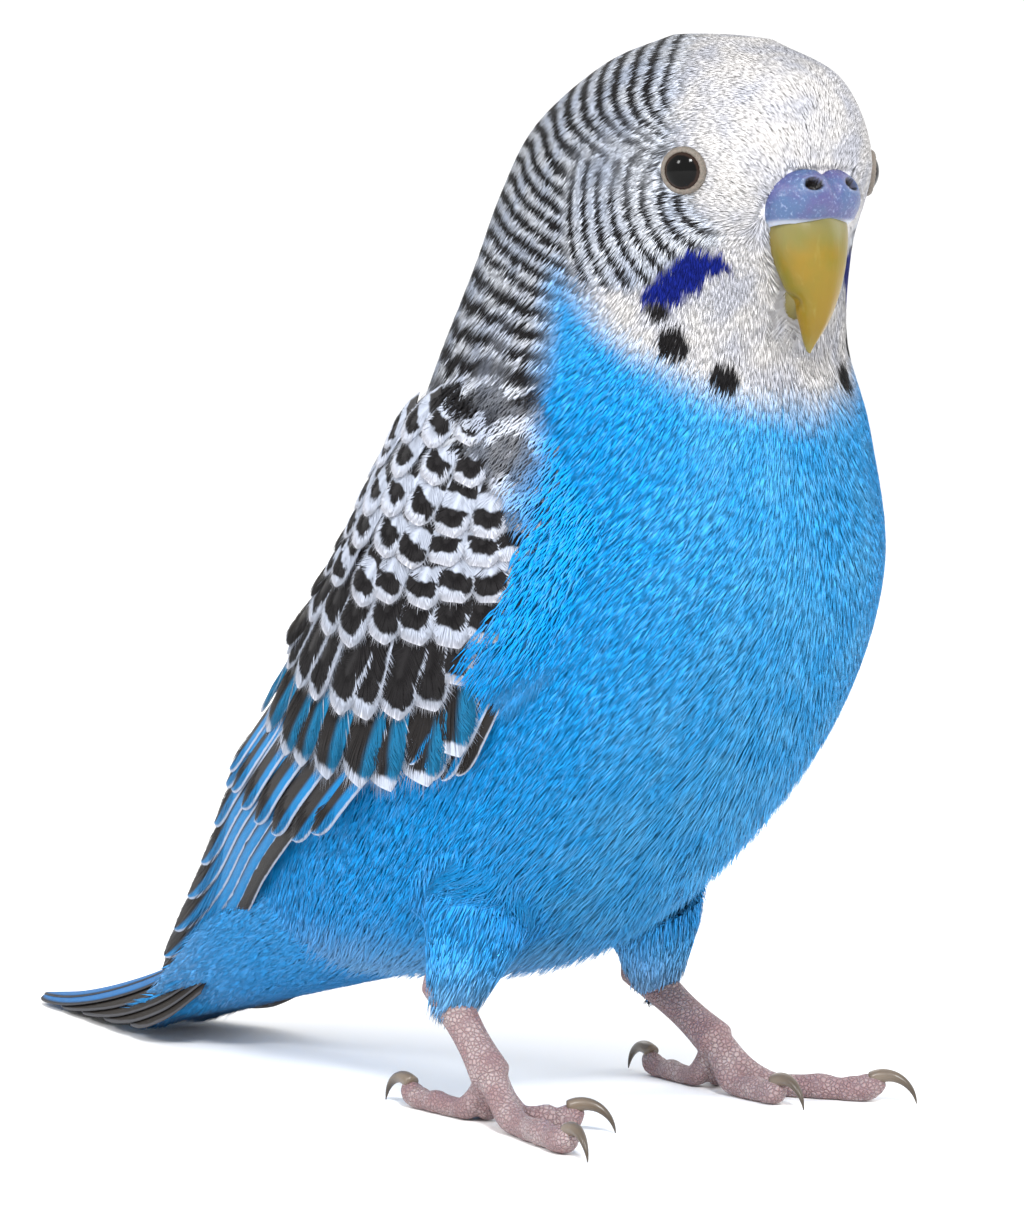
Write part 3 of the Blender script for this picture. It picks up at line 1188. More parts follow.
def thigh_coat(name, leg, centres, normals, areas, chance, looks):
    """Covers one thigh of the skin with feathers, from the skin's faces there."""
    start, way = thigh_axis(leg)
    share = along_axis(centres, start, way)
    reach = np.linalg.norm(centres - start - np.clip(share, 0, 1)[:, None] * way, axis=-1)
    near = (reach < eased(THIGH_RADII, np.clip(share, 0, 1) * 4) + 1.2) & (share > -1.2)
    faces = np.flatnonzero(near)
    wanted = np.cumsum(areas[faces] / MM**2 * THIGH_TUFTS_PER_AREA)
    picks = faces[np.searchsorted(wanted, np.arange(chance.random(), wanted[-1], 1.0))]
    count = len(picks)
    normal = normals[picks]
    spread = chance.normal(0, 0.3, (count, 3))
    root = centres[picks] + spread - normal * dot(spread, normal)
    down = unit(way) * 0.8 + np.array((-0.25, -0.3, 0))
    flow = down - normal * dot(np.broadcast_to(down, normal.shape), normal)
    flow = unit(flow + chance.normal(0, 0.1, (count, 3)))
    length = ((3.0 - 1.4 * soft(13, 9.5, root[:, 1])) * (0.7 + 0.6 * chance.random(count)))[:, None]
    middle, tip = root + flow * length / 2 + normal * 0.4, root + flow * length + normal * 0.35
    lines = np.stack([root - normal * 0.1, middle, tip], 1)
    for k in (1, 2):
        ahead = along_axis(lines[:, k], start, way)
        middle = start + ahead[:, None] * way
        reach = np.linalg.norm(lines[:, k] - middle, axis=-1)
        limit = eased((*THIGH_RADII, 2.1, 1.2), np.clip(ahead, 0, 1.5) * 4)
        pull = np.where(ahead > 0.5, np.minimum(1, limit / np.maximum(reach, 0.1)), 1.0)
        lines[:, k] = middle + (lines[:, k] - middle) * pull[:, None]
    marks = blue_marks(0.97 - 0.3 * soft(17, 9, root[:, 1]), soft(12, 20, root[:, 1]))
    lies = tuft_lies(chance, count)
    angle = np.arctan2(root[:, 0] - start[0], root[:, 2] - start[2])
    uv = np.stack([angle / (2 * math.pi) * 0.9 + 0.5, np.clip(root[:, 1] / 45, 0, 0.98)], -1)
    width = 0.18 * (0.75 + 0.5 * chance.random(count))
    make_tufts(f"thigh_coat_{name}", lines, normal, width, marks, lies, uv, small_feathers(looks), "blue_plumage")


class BIRD_OT_body_coat(bpy.types.Operator):
    """Cover the breast, belly, back and neck with small feathers"""

    bl_idname = "bird.body_coat"
    bl_label = "Body coat"

    def execute(self, context):
        body_coat("body_coat", context.scene.bird_looks)
        body_coat("neck_coat", context.scene.bird_looks)
        return {"FINISHED"}


class BIRD_OT_head_coat(bpy.types.Operator):
    """Cover the head and face with the smallest feathers"""

    bl_idname = "bird.head_coat"
    bl_label = "Head coat"

    def execute(self, context):
        body_coat("head_coat", context.scene.bird_looks)
        return {"FINISHED"}


class BIRD_OT_thigh_coat(bpy.types.Operator):
    """Cover the thighs with feathers that end at the heel"""

    bl_idname = "bird.thigh_coat"
    bl_label = "Thigh coat"

    def execute(self, context):
        chance = np.random.default_rng(21)
        skin = bpy.data.objects["skin"].data
        centres, normals, areas = (np.empty(len(skin.polygons) * n, np.float32) for n in (3, 3, 1))
        for field, values in (("center", centres), ("normal", normals), ("area", areas)):
            skin.polygons.foreach_get(field, values)
        centres = bird_points(centres.reshape(-1, 3))
        normals = normals.reshape(-1, 3).astype(float)
        normals = np.stack([-normals[:, 1], normals[:, 2], normals[:, 0]], -1)
        for name, leg in LEGS.items():
            thigh_coat(name, leg, centres, normals, areas, chance, context.scene.bird_looks)
        return {"FINISHED"}


# Wings and tail


def tip_profile(x, start=0.72, power=2.2):
    """Share of a feather's half width along it, rounded at the tip."""
    taper = np.sqrt(np.maximum(0.0, 1 - (np.clip(x - start, 0, 1) / (1 - start)) ** power))
    return taper * (0.75 + 0.25 * soft(0, 0.4, x))


class WingFeather:
    """One wing feather: where it lies and how its own places map onto the wing."""

    def __init__(self, kind, root, tip, width, height, root_height, lift):
        self.kind, self.width, self.height, self.root_height, self.lift = kind, width, height, root_height, lift
        self.root, self.tip = np.array(root, float), np.array(tip, float)
        self.length = float(np.linalg.norm(self.tip - self.root))
        self.way = (self.tip - self.root) / self.length
        self.cross = np.array((-self.way[1], self.way[0]))
        self.taper = 0.8 if kind in ("primary", "outer", "edge") else 0.72

    def half(self, x):
        return tip_profile(np.minimum(x, 0.999), self.taper) * self.width / 2

    def spot(self, x, t, extra, side):
        """Where a place at share x along and t across lies, with its normal."""
        return self.place(x, t, t * self.half(x), extra, side)

    def place(self, x, t, across, extra, side):
        """The same for a place whose distance across is given too."""
        base = self.root + self.way * (x * self.length)[..., None] + self.cross * across[..., None]
        height = self.root_height + (self.height - self.root_height) * x
        height = height + self.lift * t / 2 + 0.22 * (1 - t * t) + extra
        return wing_point(base[..., 0], base[..., 1], height, side)

    def lie(self, x, t):
        return np.stack([(1 - x) * self.length, (1 - np.abs(t)) * self.half(x), t], -1)


def wing_feathers():
    """All feathers of a wing, the long ones first and then the rows from the flight feathers up."""
    made = []
    for kind, root, tip, width, height in PRIMARIES + PRIMARY_COVERTS + EDGE_FEATHERS + SCAPULARS:
        made.append(WingFeather(kind, root, tip, width, height, 0.8, 0.3 if kind == "scapular" else -0.4))
    chance = np.random.default_rng(41)
    for row, (kind, tips, count, length, width, (front, rear), height) in enumerate(WING_ROWS):
        lift = -0.45 if row < 2 else -0.2
        for i in range(count):
            share = min(1.0, max(0.0, (i + 0.3 * (row % 2) - 0.15) / (count - 1)))
            tip = eased(np.array(tips, float), np.array(share * (len(tips) - 1))) + chance.normal(0, 0.22, 2)
            slope = math.radians(front + (rear - front) * share + chance.normal(0, 4))
            way = np.array((math.cos(slope), math.sin(slope)))
            made.append(WingFeather(kind, tip - way * length, tip, width, height, height - 0.55, lift))
    return made


def vane_grid(feather, side, rows):
    """Points and lies of a closed thin vane."""
    inner = 0.86 if feather.kind in ("covert", "lesser", "secondary", "scapular") else 1.0
    x = 1 - (1 - np.linspace(0, 1, rows)) ** 1.35
    x = np.clip(x, 0, 0.995 - 0.2 * (1 - inner))
    x, t = np.meshgrid(x, np.linspace(-inner, inner, VANE_COLUMNS), indexing="ij")
    top, _ = feather.spot(x, t, 0.0, side)
    under, _ = feather.spot(x, t, -VANE_THICKNESS, side)
    lie = feather.lie(x, t)
    return np.concatenate([top, under[:, ::-1]], 1), np.concatenate([lie, lie[:, ::-1]], 1)


def vane_caps(rows, columns):
    """Faces that close a vane at its root and its tip."""
    caps = []
    for row, flip in ((0, False), (rows - 1, True)):
        for j in range(columns // 2 - 1):
            quad = [row * columns + k for k in (j, j + 1, columns - 2 - j, columns - 1 - j)]
            caps.append(quad[::-1] if flip else quad)
    return np.array(caps)


def vanes_object(name, vanes, side, material, slot):
    """One object of closed vanes, each given as its points and their lies."""
    points, faces, lies, start = [], [], [], 0
    for grid, lie in vanes:
        rows, columns = grid.shape[:2]
        block = np.concatenate([np.array(grid_faces(rows, columns, True)), vane_caps(rows, columns)])
        if side > 0:
            block = block[:, ::-1]
        points.append(grid.reshape(-1, 3))
        lies.append(lie.reshape(-1, 3))
        faces.append(block + start)
        start += rows * columns
    obj = mesh_from_arrays(name, frame_point(np.concatenate(points)), np.concatenate(faces), lie=np.concatenate(lies))
    finish_piece(obj, material, slot)


def web_barbs(feather, side, web, chance, spacing, from_share):
    """Places and lies of the barbs along one web of a feather, point by point."""
    last = min(feather.taper + 0.1, 0.93)
    count = max(4, int(feather.length * max(0.05, last - from_share) / spacing))
    x0 = np.linspace(min(from_share, last - 0.05), last, count)
    x0 = x0 + chance.normal(0, 0.2 * spacing / feather.length, count)
    reach = BARB_REACH * feather.width / 2 / feather.length
    x1 = np.minimum(x0 + reach * (1.2 - 0.3 * x0), 0.97)
    t1 = web * (1.0 + np.abs(chance.normal(0.06, 0.1, count)))
    spread = [(x0 + (x1 - x0) * part, t1 * (0.04 + 0.96 * part), extra) for part, extra in BARB_POINTS]
    places = [feather.spot(x, t, extra + chance.normal(0, 0.02, count), side) for x, t, extra in spread]
    return places, [feather.lie(x, t) for x, t, _ in spread]


def tip_barbs(feather, side, chance, spacing):
    """Places and lies of the barbs that fan round a feather's tip, point by point."""
    half = feather.width / 2
    count = int(3.4 * half / spacing)
    turn = np.radians(np.clip(np.linspace(-84, 84, count) + chance.normal(0, 2.0, count), -88, 88))
    over = 1 + np.abs(chance.normal(0.03, 0.07, count))
    places, lies = [], []
    for part, extra in BARB_POINTS:
        out = 0.25 + (over - 0.25) * part
        far = (1 - feather.taper) * np.cos(turn) ** 0.9 * (0.45 + (over - 0.45) * part)
        x = feather.taper - 0.15 * (1 - part) + far
        t = np.sin(turn) * out
        places.append(feather.place(x, t, t * half, extra + chance.normal(0, 0.02, count), side))
        edge = np.maximum(over - out, 0) * half
        tip = np.maximum(1 - x, 0) * feather.length * np.cos(turn) + edge * (1 - np.cos(turn))
        lies.append(np.stack([tip + 0.1 * (1 - part), edge + 0.05 * (1 - part), t], -1))
    return places, lies


def barb_lines(feather, side, chance, spacing, from_share):
    """Lines of a feather's barbs along both webs and round its tip, with their normals and lies."""
    fans = [web_barbs(feather, side, web, chance, spacing, from_share) for web in (-1, 1)]
    fans.append(tip_barbs(feather, side, chance, spacing))
    lines = [np.stack([spot for spot, _ in places], 1) for places, _ in fans]
    normals = [places[1][1] for places, _ in fans]
    lies = [np.stack(found, 1) for _, found in fans]
    return tuple(np.concatenate(group) for group in (lines, normals, lies))


def front_marks(along, chance):
    """Marks of the breast feathers that lie over a wing's front edge."""
    return blue_marks(1.0 - 0.08 * chance.random(len(along)), 0.8)


def wing_front(name, side, looks):
    """Breast feathers over a wing's front edge."""

    def front(u, v):
        return wing_point(u, between(EDGE_ALONG, LOWER_EDGE, u) + v, 0.9 + 0.35 * np.clip(v, 0, 3), side)[0]

    coat_over(
        name, front, ((0.5, 15.0), (-0.6, 2.6)), 3400, (0.94, -0.34, -side), 3.0, 0.14, 0.3, front_marks,
        looks, "blue_plumage", 51,
    )


def wing_bed(name, side, looks):
    """The dark bed that a wing's feathers lie on."""
    along = np.linspace(0.5, 60.0, 24)
    lower = between(EDGE_ALONG, LOWER_EDGE, along) + 2.6
    upper = between(EDGE_ALONG, UPPER_EDGE, along) - 1.0 - 3.0 * soft(35, 50, along)
    across = lower[:, None] + (upper - lower)[:, None] * np.linspace(0, 1, 10)
    along = along[:, None] + 0 * across
    top, _ = wing_point(along, across, 0.9, side)
    under, _ = wing_point(along, across, 0.1, side)
    bed = object_of_grids(name, [frame_point(np.concatenate([top, under[:, ::-1]], 1))])
    shades = Shades(f"{name}_bed", 0.7, 0.3)
    shades.set("Base Color", shades.mix(shades.noise(600.0), looks.wing_dark, looks.wing_white))
    finish_piece(bed, shades.material, "wing_plumage", "wing_left" if side > 0 else "wing_right")


def make_wing(name, side, looks):
    """One wing: a dark bed, long feathers, tiers of coverts and their loose barbs."""
    chance = np.random.default_rng(31 if side < 0 else 32)
    feathers = wing_feathers()
    for kind, (rows, spacing, start) in WING_KINDS.items():
        material = vane_material(looks, kind)
        chosen = [feather for feather in feathers if feather.kind == kind]
        vanes = [vane_grid(feather, side, rows) for feather in chosen]
        vanes_object(f"{name}_{kind}", vanes, side, material, "wing_plumage")
        found = [barb_lines(feather, side, chance, spacing, start) for feather in chosen]
        lines, normals, lies = (np.concatenate([f[i] for f in found]) for i in range(3))
        widths = np.full(len(lines), looks.barb_width / MM) * (0.8 + 0.4 * chance.random(len(lines)))
        marks = np.zeros((len(lines), 4))
        along, across = wing_place(lines[:, 0])
        uv = np.stack([np.clip((along + 10) / 110, 0, 0.99), np.clip((across + 20) / 45, 0, 0.99)], -1)
        make_tufts(f"{name}_{kind}_barbs", lines, normals, widths, marks, lies, uv, material, "wing_plumage", 0.2)
    wing_front(f"{name}_front", side, looks)
    wing_bed(name, side, looks)


class BIRD_OT_wings(bpy.types.Operator):
    """Make both folded wings"""

    bl_idname = "bird.wings"
    bl_label = "Wings"

    def execute(self, context):
        make_wing("wing_feathers_right", -1, context.scene.bird_looks)
        make_wing("wing_feathers_left", 1, context.scene.bird_looks)
        return {"FINISHED"}


class TailFeather:
    """One tail feather under the tail's roof."""

    def __init__(self, tier, tip_share, middle, width):
        self.tier, self.tip_share, self.middle, self.width = tier, tip_share, middle, width
        self.length = TAIL_LENGTH * tip_share

    def spot(self, x, t, extra):
        """Where a place at share x along and t across lies."""
        share = 0.04 + 0.01 * self.tier + (self.tip_share - 0.04 - 0.01 * self.tier) * x
        across = self.middle * tail_half_width(share) + t * self.width / 2 * tip_profile(x, *TAIL_TAPER)
        lowest = 0.06 + 0.05 * self.tier + extra
        return tail_spot(share, across, 0.2 * self.tier - extra - 0.12 * (1 - t * t), lowest)


def tail_vane_grid(feather):
    """Points and lies of a closed thin vane of the tail."""
    x = np.clip(1 - (1 - np.linspace(0, 1, 30)) ** 1.35, 0, 0.997)
    x, t = np.meshgrid(x, np.linspace(-1, 1, VANE_COLUMNS), indexing="ij")
    grid = np.concatenate([feather.spot(x, t, 0.0), feather.spot(x, t, -VANE_THICKNESS)[:, ::-1]], 1)
    half = feather.width / 2 * tip_profile(x, *TAIL_TAPER)
    lie = np.stack([(1 - x) * feather.length, (1 - np.abs(t)) * half, t], -1)
    return grid, np.concatenate([lie, lie[:, ::-1]], 1)


def tail_core_depth(share):
    return eased(TAIL_DEPTH, share * TAIL_STEPS) * (0.9 - 0.4 * (share / CORE_END) ** 2)


def tail_core_grid():
    """The tail's core under its feathers."""
    share, spread = np.linspace(0, CORE_END, 14), np.linspace(-1, 1, 12)
    across = (tail_half_width(share) * 0.8)[:, None] * spread
    lengthwise = share[:, None] + 0 * across
    top = tail_spot(lengthwise, across, 0.9)
    round_off = np.sqrt(np.maximum(0, 1 - spread**2))
    drop = 1.1 + tail_core_depth(share)[:, None] * (0.1 + 0.8 * round_off)
    under = tail_spot(lengthwise, across * 0.96, drop, 0.1)
    return np.concatenate([top, under[:, ::-1]], 1)


def above_tail(u, v):
    """A surface over the tail's root. Below zero, u runs up the back."""
    on_back = np.maximum(-u, 0)[:, None] * np.array((25.0, 38.0, 0))
    return tail_spot(np.maximum(u, 0), tail_half_width(u) * v, 0.5 * v * v - 0.2) + on_back


def below_tail(u, v):
    """A surface round the underside of the tail's core."""
    half = tail_half_width(u) * 0.82
    drop = 0.9 + tail_core_depth(u) * (0.1 + 0.82 * np.cos(v))
    return tail_spot(u, half * np.sin(v) * 1.02, drop, 0.25)


def tail_marks(u, chance):
    return blue_marks(0.98 - 0.3 * soft(0.25, 0.9, u) * chance.random(len(u)), 0.7)


# Coats round the tail: name, surface, spans of its two numbers, count of tufts, side of the surface
TAIL_COATS = (
    ("upper_tail_coverts", above_tail, ((-0.1, 0.26), (-0.95, 0.95)), 5500, 1),
    ("tail_coverts", below_tail, ((0.0, 0.44), (-1.65, 1.65)), 5000, -1),
    ("rump_coat", rump, ((0.0, 1.0), (-1.75, 1.75)), 15500, -1),
)


class BIRD_OT_tail(bpy.types.Operator):
    """Make the graduated tail feathers and their core"""

    bl_idname = "bird.tail"
    bl_label = "Tail"

    def execute(self, context):
        looks = context.scene.bird_looks
        feathers = [TailFeather(tier, *row) for tier, row in enumerate(TAIL_FEATHERS)]
        for kind, chosen in (("tail", feathers[:2]), ("tail_side", feathers[2:])):
            vanes = [tail_vane_grid(feather) for feather in chosen]
            vanes_object(f"{kind}_vanes", vanes, -1, vane_material(looks, kind), "tail_plumage")
        core = object_of_grids("tail_core", [frame_point(tail_core_grid())])
        for name, surface, spans, count, sign in TAIL_COATS:
            way = (1.0, 0.0, sign)
            coat_over(name, surface, spans, count, way, 4.0, 0.17, 0.4, tail_marks, looks, "tail_plumage", 61)
        shades = Shades("tail_core", 0.65, 0.3)
        shades.set("Base Color", shades.mix(shades.noise(500.0), looks.breast_blue, looks.tail_dark))
        finish_piece(core, shades.material, "tail_plumage", "tail")
        return {"FINISHED"}


# Bill, cere and eyes


def loft(stations, rows, columns, fullness=2.0):
    """A dense loft through stations, not turned, with its outward normals, positions and turns."""
    turns = np.linspace(-math.pi, math.pi, columns, endpoint=False)
    position, turn = np.meshgrid(np.linspace(0, len(stations) - 1, rows), turns, indexing="ij")
    table = eased(np.array(stations, float), position)
    points = ring_point(table, turn, fullness)
    along = np.gradient(points, axis=0)
    across = np.roll(points, -1, 1) - np.roll(points, 1, 1)
    normal = unit(np.cross(along, across))
    middle = points.mean(1, keepdims=True)
    return points, normal * np.where(dot(normal, points - middle) < 0, -1, 1), position, turn


def first_points_marks(obj, *columns):
    """Gives an object's first points their marks, column by column. Its caps have none."""
    marks = np.zeros((len(obj.data.vertices), 4))
    for i, values in enumerate(columns):
        marks[: values.size, i] = values.ravel()
    set_points_layer(obj.data, "marks", "FLOAT_COLOR", marks)


def cere_material(looks):
    """Blue and violet skin. Its marks are the nostril's hole, the pale border and the nostril's lip."""
    shades = Shades("cere", 0.38, 0.5)
    hole, pale, lip, _ = shades.marks()
    clouds = shades.noise(420.0, 4.0)
    colour = shades.mix(shades.step(clouds, 0.35, 0.65), looks.cere_blue, looks.cere_violet)
    grain = shades.step(shades.noise(3800.0, 2.0), 0.55, 0.75)
    colour = shades.mix(shades.sum("MULTIPLY", grain, 0.35), colour, (0.36, 0.44, 0.62))
    colour = shades.mix(shades.sum("MAXIMUM", pale, shades.sum("MULTIPLY", lip, 0.1)), colour, (0.40, 0.43, 0.52))
    colour = shades.mix(hole, colour, (0.004, 0.002, 0.002))
    shades.set("Base Color", colour)
    shades.set("Subsurface Weight", 0.12)
    shades.set("Subsurface Scale", 0.001)
    shades.bump(shades.noise(3000.0, 3.0), 0.45, 0.0002)
    return shades.material


def make_cere(looks):
    """Two swellings with a groove between them, and a nostril with a lip in each."""
    points, normal, position, _ = loft(CERE_STATIONS, 60, 120)
    across = points[..., 2]
    front = soft(26.0, 28.5, points[..., 0])
    groove = np.exp(-((across / 0.5) ** 2)) * soft(0.6, 1.8, position)
    swell = 0.22 * np.exp(-(((np.abs(across) - 2.2) / 1.5) ** 2)) - 0.4 * groove
    rim = soft(2.7, 3.0, position) + soft(0.3, 0.0, position)
    points = points + normal * (front * swell - 0.3 * rim)[..., None]
    even = np.concatenate([points[..., :2], np.abs(across)[..., None]], -1)
    distance = np.linalg.norm((even - np.array(NOSTRIL_PLACE)) * NOSTRIL_SQUEEZE, axis=-1)
    hole = soft(0.85, 0.6, distance) * front
    lip = np.exp(-(((distance - 1.05) / 0.22) ** 2)) * front
    points = points + normal * (0.06 * lip - 1.0 * hole)[..., None]
    cere = object_of_grids("cere_skin", [frame_point(head_turned(points))])
    first_points_marks(cere, soft(0.98, 0.8, distance) * front, soft(0.34, 0.08, position), lip)
    finish_piece(cere, cere_material(looks), "cere", "cere")


def horn_material(looks):
    """Olive yellow horn. Its marks are the share down the bill and the nearness to its middle line."""
    shades = Shades("bill_horn", 0.34, 0.3)
    length, middle, _, _ = shades.marks()
    stretched = shades.node("ShaderNodeMapping", 0, {"Vector": shades.place(), "Scale": (1.0, 1.0, 0.22)})
    streaks = shades.noise(1500.0, 4.0, stretched)
    clouds = shades.noise(260.0, 3.0)
    colour = shades.mix(shades.step(clouds, 0.35, 0.65), looks.bill_yellow, looks.bill_ochre)
    colour = shades.mix(shades.sum("MULTIPLY", middle, shades.step(length, 0.2, 0.6)), colour, looks.bill_ochre)
    colour = shades.mix(shades.step(length, 0.36, 0.12, 0.0, 0.75), colour, (0.15, 0.145, 0.06))
    colour = shades.mix(shades.step(length, 0.7, 1.0, 0.0, 0.6), colour, (0.22, 0.2, 0.07))
    colour = shades.mix(shades.step(streaks, 0.55, 0.8, 0.0, 0.25), colour, (0.32, 0.28, 0.09))
    shades.set("Base Color", colour)
    shades.set("Subsurface Weight", 0.06)
    shades.set("Subsurface Scale", 0.001)
    shades.set("Coat Weight", 0.12)
    shades.set("Coat Roughness", 0.15)
    shades.bump(streaks, 0.15, 0.0002)
    return shades.material


def make_upper_bill(looks):
    """The upper half with a low ridge down its middle and a notch in each edge."""
    points, normal, position, turn = loft(UPPER_BILL_STATIONS, 80, 96, BILL_FULLNESS)
    side = np.abs(np.degrees(turn))
    notch = np.exp(-(((position - 3.45) / 0.28) ** 2)) * np.exp(-(((side - 118) / 30) ** 2))
    ridge = np.exp(-((side / 16) ** 2)) * 0.1
    points = points + normal * (ridge - 0.8 * notch)[..., None]
    upper = object_of_grids("bill_upper", [frame_point(head_turned(points))])
    first_points_marks(upper, position / 6, np.exp(-((side / 60) ** 2)))
    finish_piece(upper, horn_material(looks), "bill", "upper_bill")


def make_lower_bill(looks):
    points, _, _, _ = loft(LOWER_BILL_STATIONS, 40, 64, BILL_FULLNESS)
    points = points * (1, 1, 0.62) + np.array((0.5, 0.2, 0))
    lower = object_of_grids("bill_lower", [frame_point(head_turned(points))])
    shades = Shades("lower_horn", 0.35, 0.45)
    shades.set("Base Color", shades.mix(shades.noise(500.0, 3.0), looks.bill_yellow, (0.2, 0.16, 0.07)))
    finish_piece(lower, shades.material, "bill", "lower_bill")


class BIRD_OT_bill(bpy.types.Operator):
    """Make the cere with its nostrils and the two halves of the bill"""

    bl_idname = "bird.bill"
    bl_label = "Bill and cere"

    def execute(self, context):
        looks = context.scene.bird_looks
        make_cere(looks)
        make_upper_bill(looks)
        make_lower_bill(looks)
        return {"FINISHED"}


def eye_material(looks):
    """Glossy dark eye. The first number of its lie is the distance from the pupil's middle over the iris's reach."""
    shades = Shades("eye", 0.1, 0.13)
    away, _, _ = shades.lie()
    grain = shades.sum("MULTIPLY", shades.noise(2600.0, 2.0), 0.12)
    iris = shades.step(shades.sum("ADD", away, grain), 0.76, 0.84)
    shades.set("Base Color", shades.mix(iris, looks.pupil, looks.iris))
    return shades.material


def eye_ring_material(looks):
    shades = Shades("eye_ring", 0.5, 0.4)
    folds = shades.cells(2600.0)
    shades.set("Base Color", shades.mix(shades.step(folds, 0.0, 0.18), (0.16, 0.13, 0.11), looks.eye_ring))
    shades.bump(folds, 0.6, 0.0002)
    return shades.material


def make_eyeball(name, centre, axes, radius, material):
    normal, level, rise = axes
    angles, tilts = np.linspace(0, 2 * math.pi, 48, endpoint=False), np.linspace(0.02, math.pi - 0.02, 40)
    angle, tilt = np.meshgrid(angles, tilts)
    outward = ring_ways(level, rise, angle) * np.sin(tilt)[..., None]
    points = centre + radius * (normal * np.cos(tilt)[..., None] + outward)
    eye = object_of_grids(f"eyeball_{name}", [frame_point(points)])
    lie = np.zeros((len(eye.data.vertices), 3))
    lie[: tilt.size, 0] = (np.sin(tilt) * radius / IRIS_REACH + (np.cos(tilt) < 0) * 2).ravel()
    set_points_layer(eye.data, "lie", "FLOAT_VECTOR", lie)
    finish_piece(eye, material, "eye", f"eye_{name}")


def make_eye_ring(name, centre, axes, radius, material):
    """A rippled ring of bare skin round an eye."""
    normal, level, rise = axes
    steps, sides = 72, 16
    angles, rounds = (np.linspace(0, 2 * math.pi, n, endpoint=False) for n in (steps, sides))
    angle, around = np.meshgrid(angles, rounds, indexing="ij")
    ripple = 0.03 * np.sin(angle * 23) * np.sin(around)
    reach = 1.82 + (0.26 + ripple) * np.cos(around)
    height = radius - 0.86 + (0.3 + ripple) * np.sin(around) - 0.45 * (reach - 1.8)
    points = centre + normal * height[..., None] + ring_ways(level, rise, angle) * reach[..., None]
    last = (steps - 1) * sides
    closing = [(last + j, last + (j + 1) % sides, (j + 1) % sides, j) for j in range(sides)]
    faces = np.array(grid_faces(steps, sides, True) + closing)
    ring = mesh_from_arrays(f"eye_ring_{name}", frame_point(points).reshape(-1, 3), faces)
    finish_piece(ring, material, "white_plumage")


class BIRD_OT_eyes(bpy.types.Operator):
    """Make the two eyes with their irises and the bare rings of skin round them"""

    bl_idname = "bird.eyes"
    bl_label = "Eyes and lids"

    def execute(self, context):
        looks = context.scene.bird_looks
        radius = looks.eye_radius / MM
        eye, ring = eye_material(looks), eye_ring_material(looks)
        for name, side in (("left", 1), ("right", -1)):
            centre, normal = eye_spot(side)
            level = unit(np.cross(normal, (0, 1, 0)))
            axes = normal, level, unit(np.cross(level, normal))
            make_eyeball(name, centre, axes, radius, eye)
            make_eye_ring(name, centre, axes, radius, ring)
        return {"FINISHED"}


# Feet and claws


def toe_line(leg, number):
    """Points and radii of one toe, from the joint to the pad at its tip."""
    side = leg["side"]
    (joint_forward, joint_up), (reach_forward, reach_out) = leg["joint"], leg["toes"][number]
    size = TOE_RADIUS[number]
    joint = np.array((joint_forward, joint_up, side * FOOT_OUT))
    tip = np.array((joint_forward + reach_forward, size, side * (FOOT_OUT + reach_out)))
    points, radii = [], []
    for share, wide, lift in TOE_SHAPE:
        point = joint + (tip - joint) * share
        fall = min(1.0, share / 0.36)
        point[1] = joint_up + (size * wide * 0.95 + lift - joint_up) * (1 - (1 - fall) ** 2)
        points.append(point)
        radii.append(size * wide)
    return points, radii


def dense_line(points, radii, count):
    """The same line with more points on a smooth curve."""
    position = np.linspace(0, len(points) - 1, count)
    return list(eased(np.array(points), position)), list(eased(np.array(radii, float), position))


def scale_material(looks):
    """Skin of the feet with scales of two sizes."""
    shades = Shades("foot_scales", 0.5, 0.4)
    scales, small = shades.cells(2500.0), shades.cells(5000.0)
    clouds = shades.noise(380.0, 3.0)
    skin = shades.mix(shades.step(clouds, 0.35, 0.7), looks.foot_pink, looks.foot_pale)
    shades.set("Base Color", shades.mix(shades.step(scales, 0.0, 0.16, 0.25, 1.0), looks.foot_groove, skin))
    shades.set("Subsurface Weight", 0.1)
    shades.set("Subsurface Scale", 0.001)
    height = shades.sum("ADD", shades.step(scales, 0.0, 0.25), shades.sum("MULTIPLY", small, 0.4))
    shades.bump(height, 0.7, 0.0002)
    return shades.material


def claw_material(looks):
    """Horn of the claws. The first number of its lie is the share from root to tip."""
    shades = Shades("claw_horn", 0.32, 0.5)
    base, _, _ = shades.lie()
    colour = shades.mix(shades.step(base, 0.1, 0.8), looks.claw_base, looks.claw_tip)
    streaks = shades.noise(2500.0, 3.0)
    shades.set("Base Color", shades.mix(shades.sum("MULTIPLY", streaks, 0.3), colour, (0.09, 0.07, 0.05)))
    shades.bump(streaks, 0.2, 0.0001)
    return shades.material


def claw_line(toe, claw_radius):
    """Points and radii of the claw at the tip of a toe's points, clear of the floor."""
    outward = unit((toe[-1] - toe[-3]) * (1, 0, 1))
    line, radii = [toe[-1] - outward * CLAW_INSIDE], [claw_radius]
    for i in range(1, CLAW_STEPS + 1):
        turn = math.radians(CLAW_RISE - CLAW_CURVE * i / CLAW_STEPS)
        step = (CLAW_LENGTH + CLAW_INSIDE) / CLAW_STEPS
        line.append(line[-1] + (outward * math.cos(turn) + np.array((0, math.sin(turn), 0))) * step)
        radii.append(claw_radius * (1 - 0.93 * (i / CLAW_STEPS) ** 1.3))
    lowest = min(p[1] - r for p, r in zip(line, radii))
    return [p - np.array((0, min(0.0, lowest - 0.05), 0)) for p in line], radii


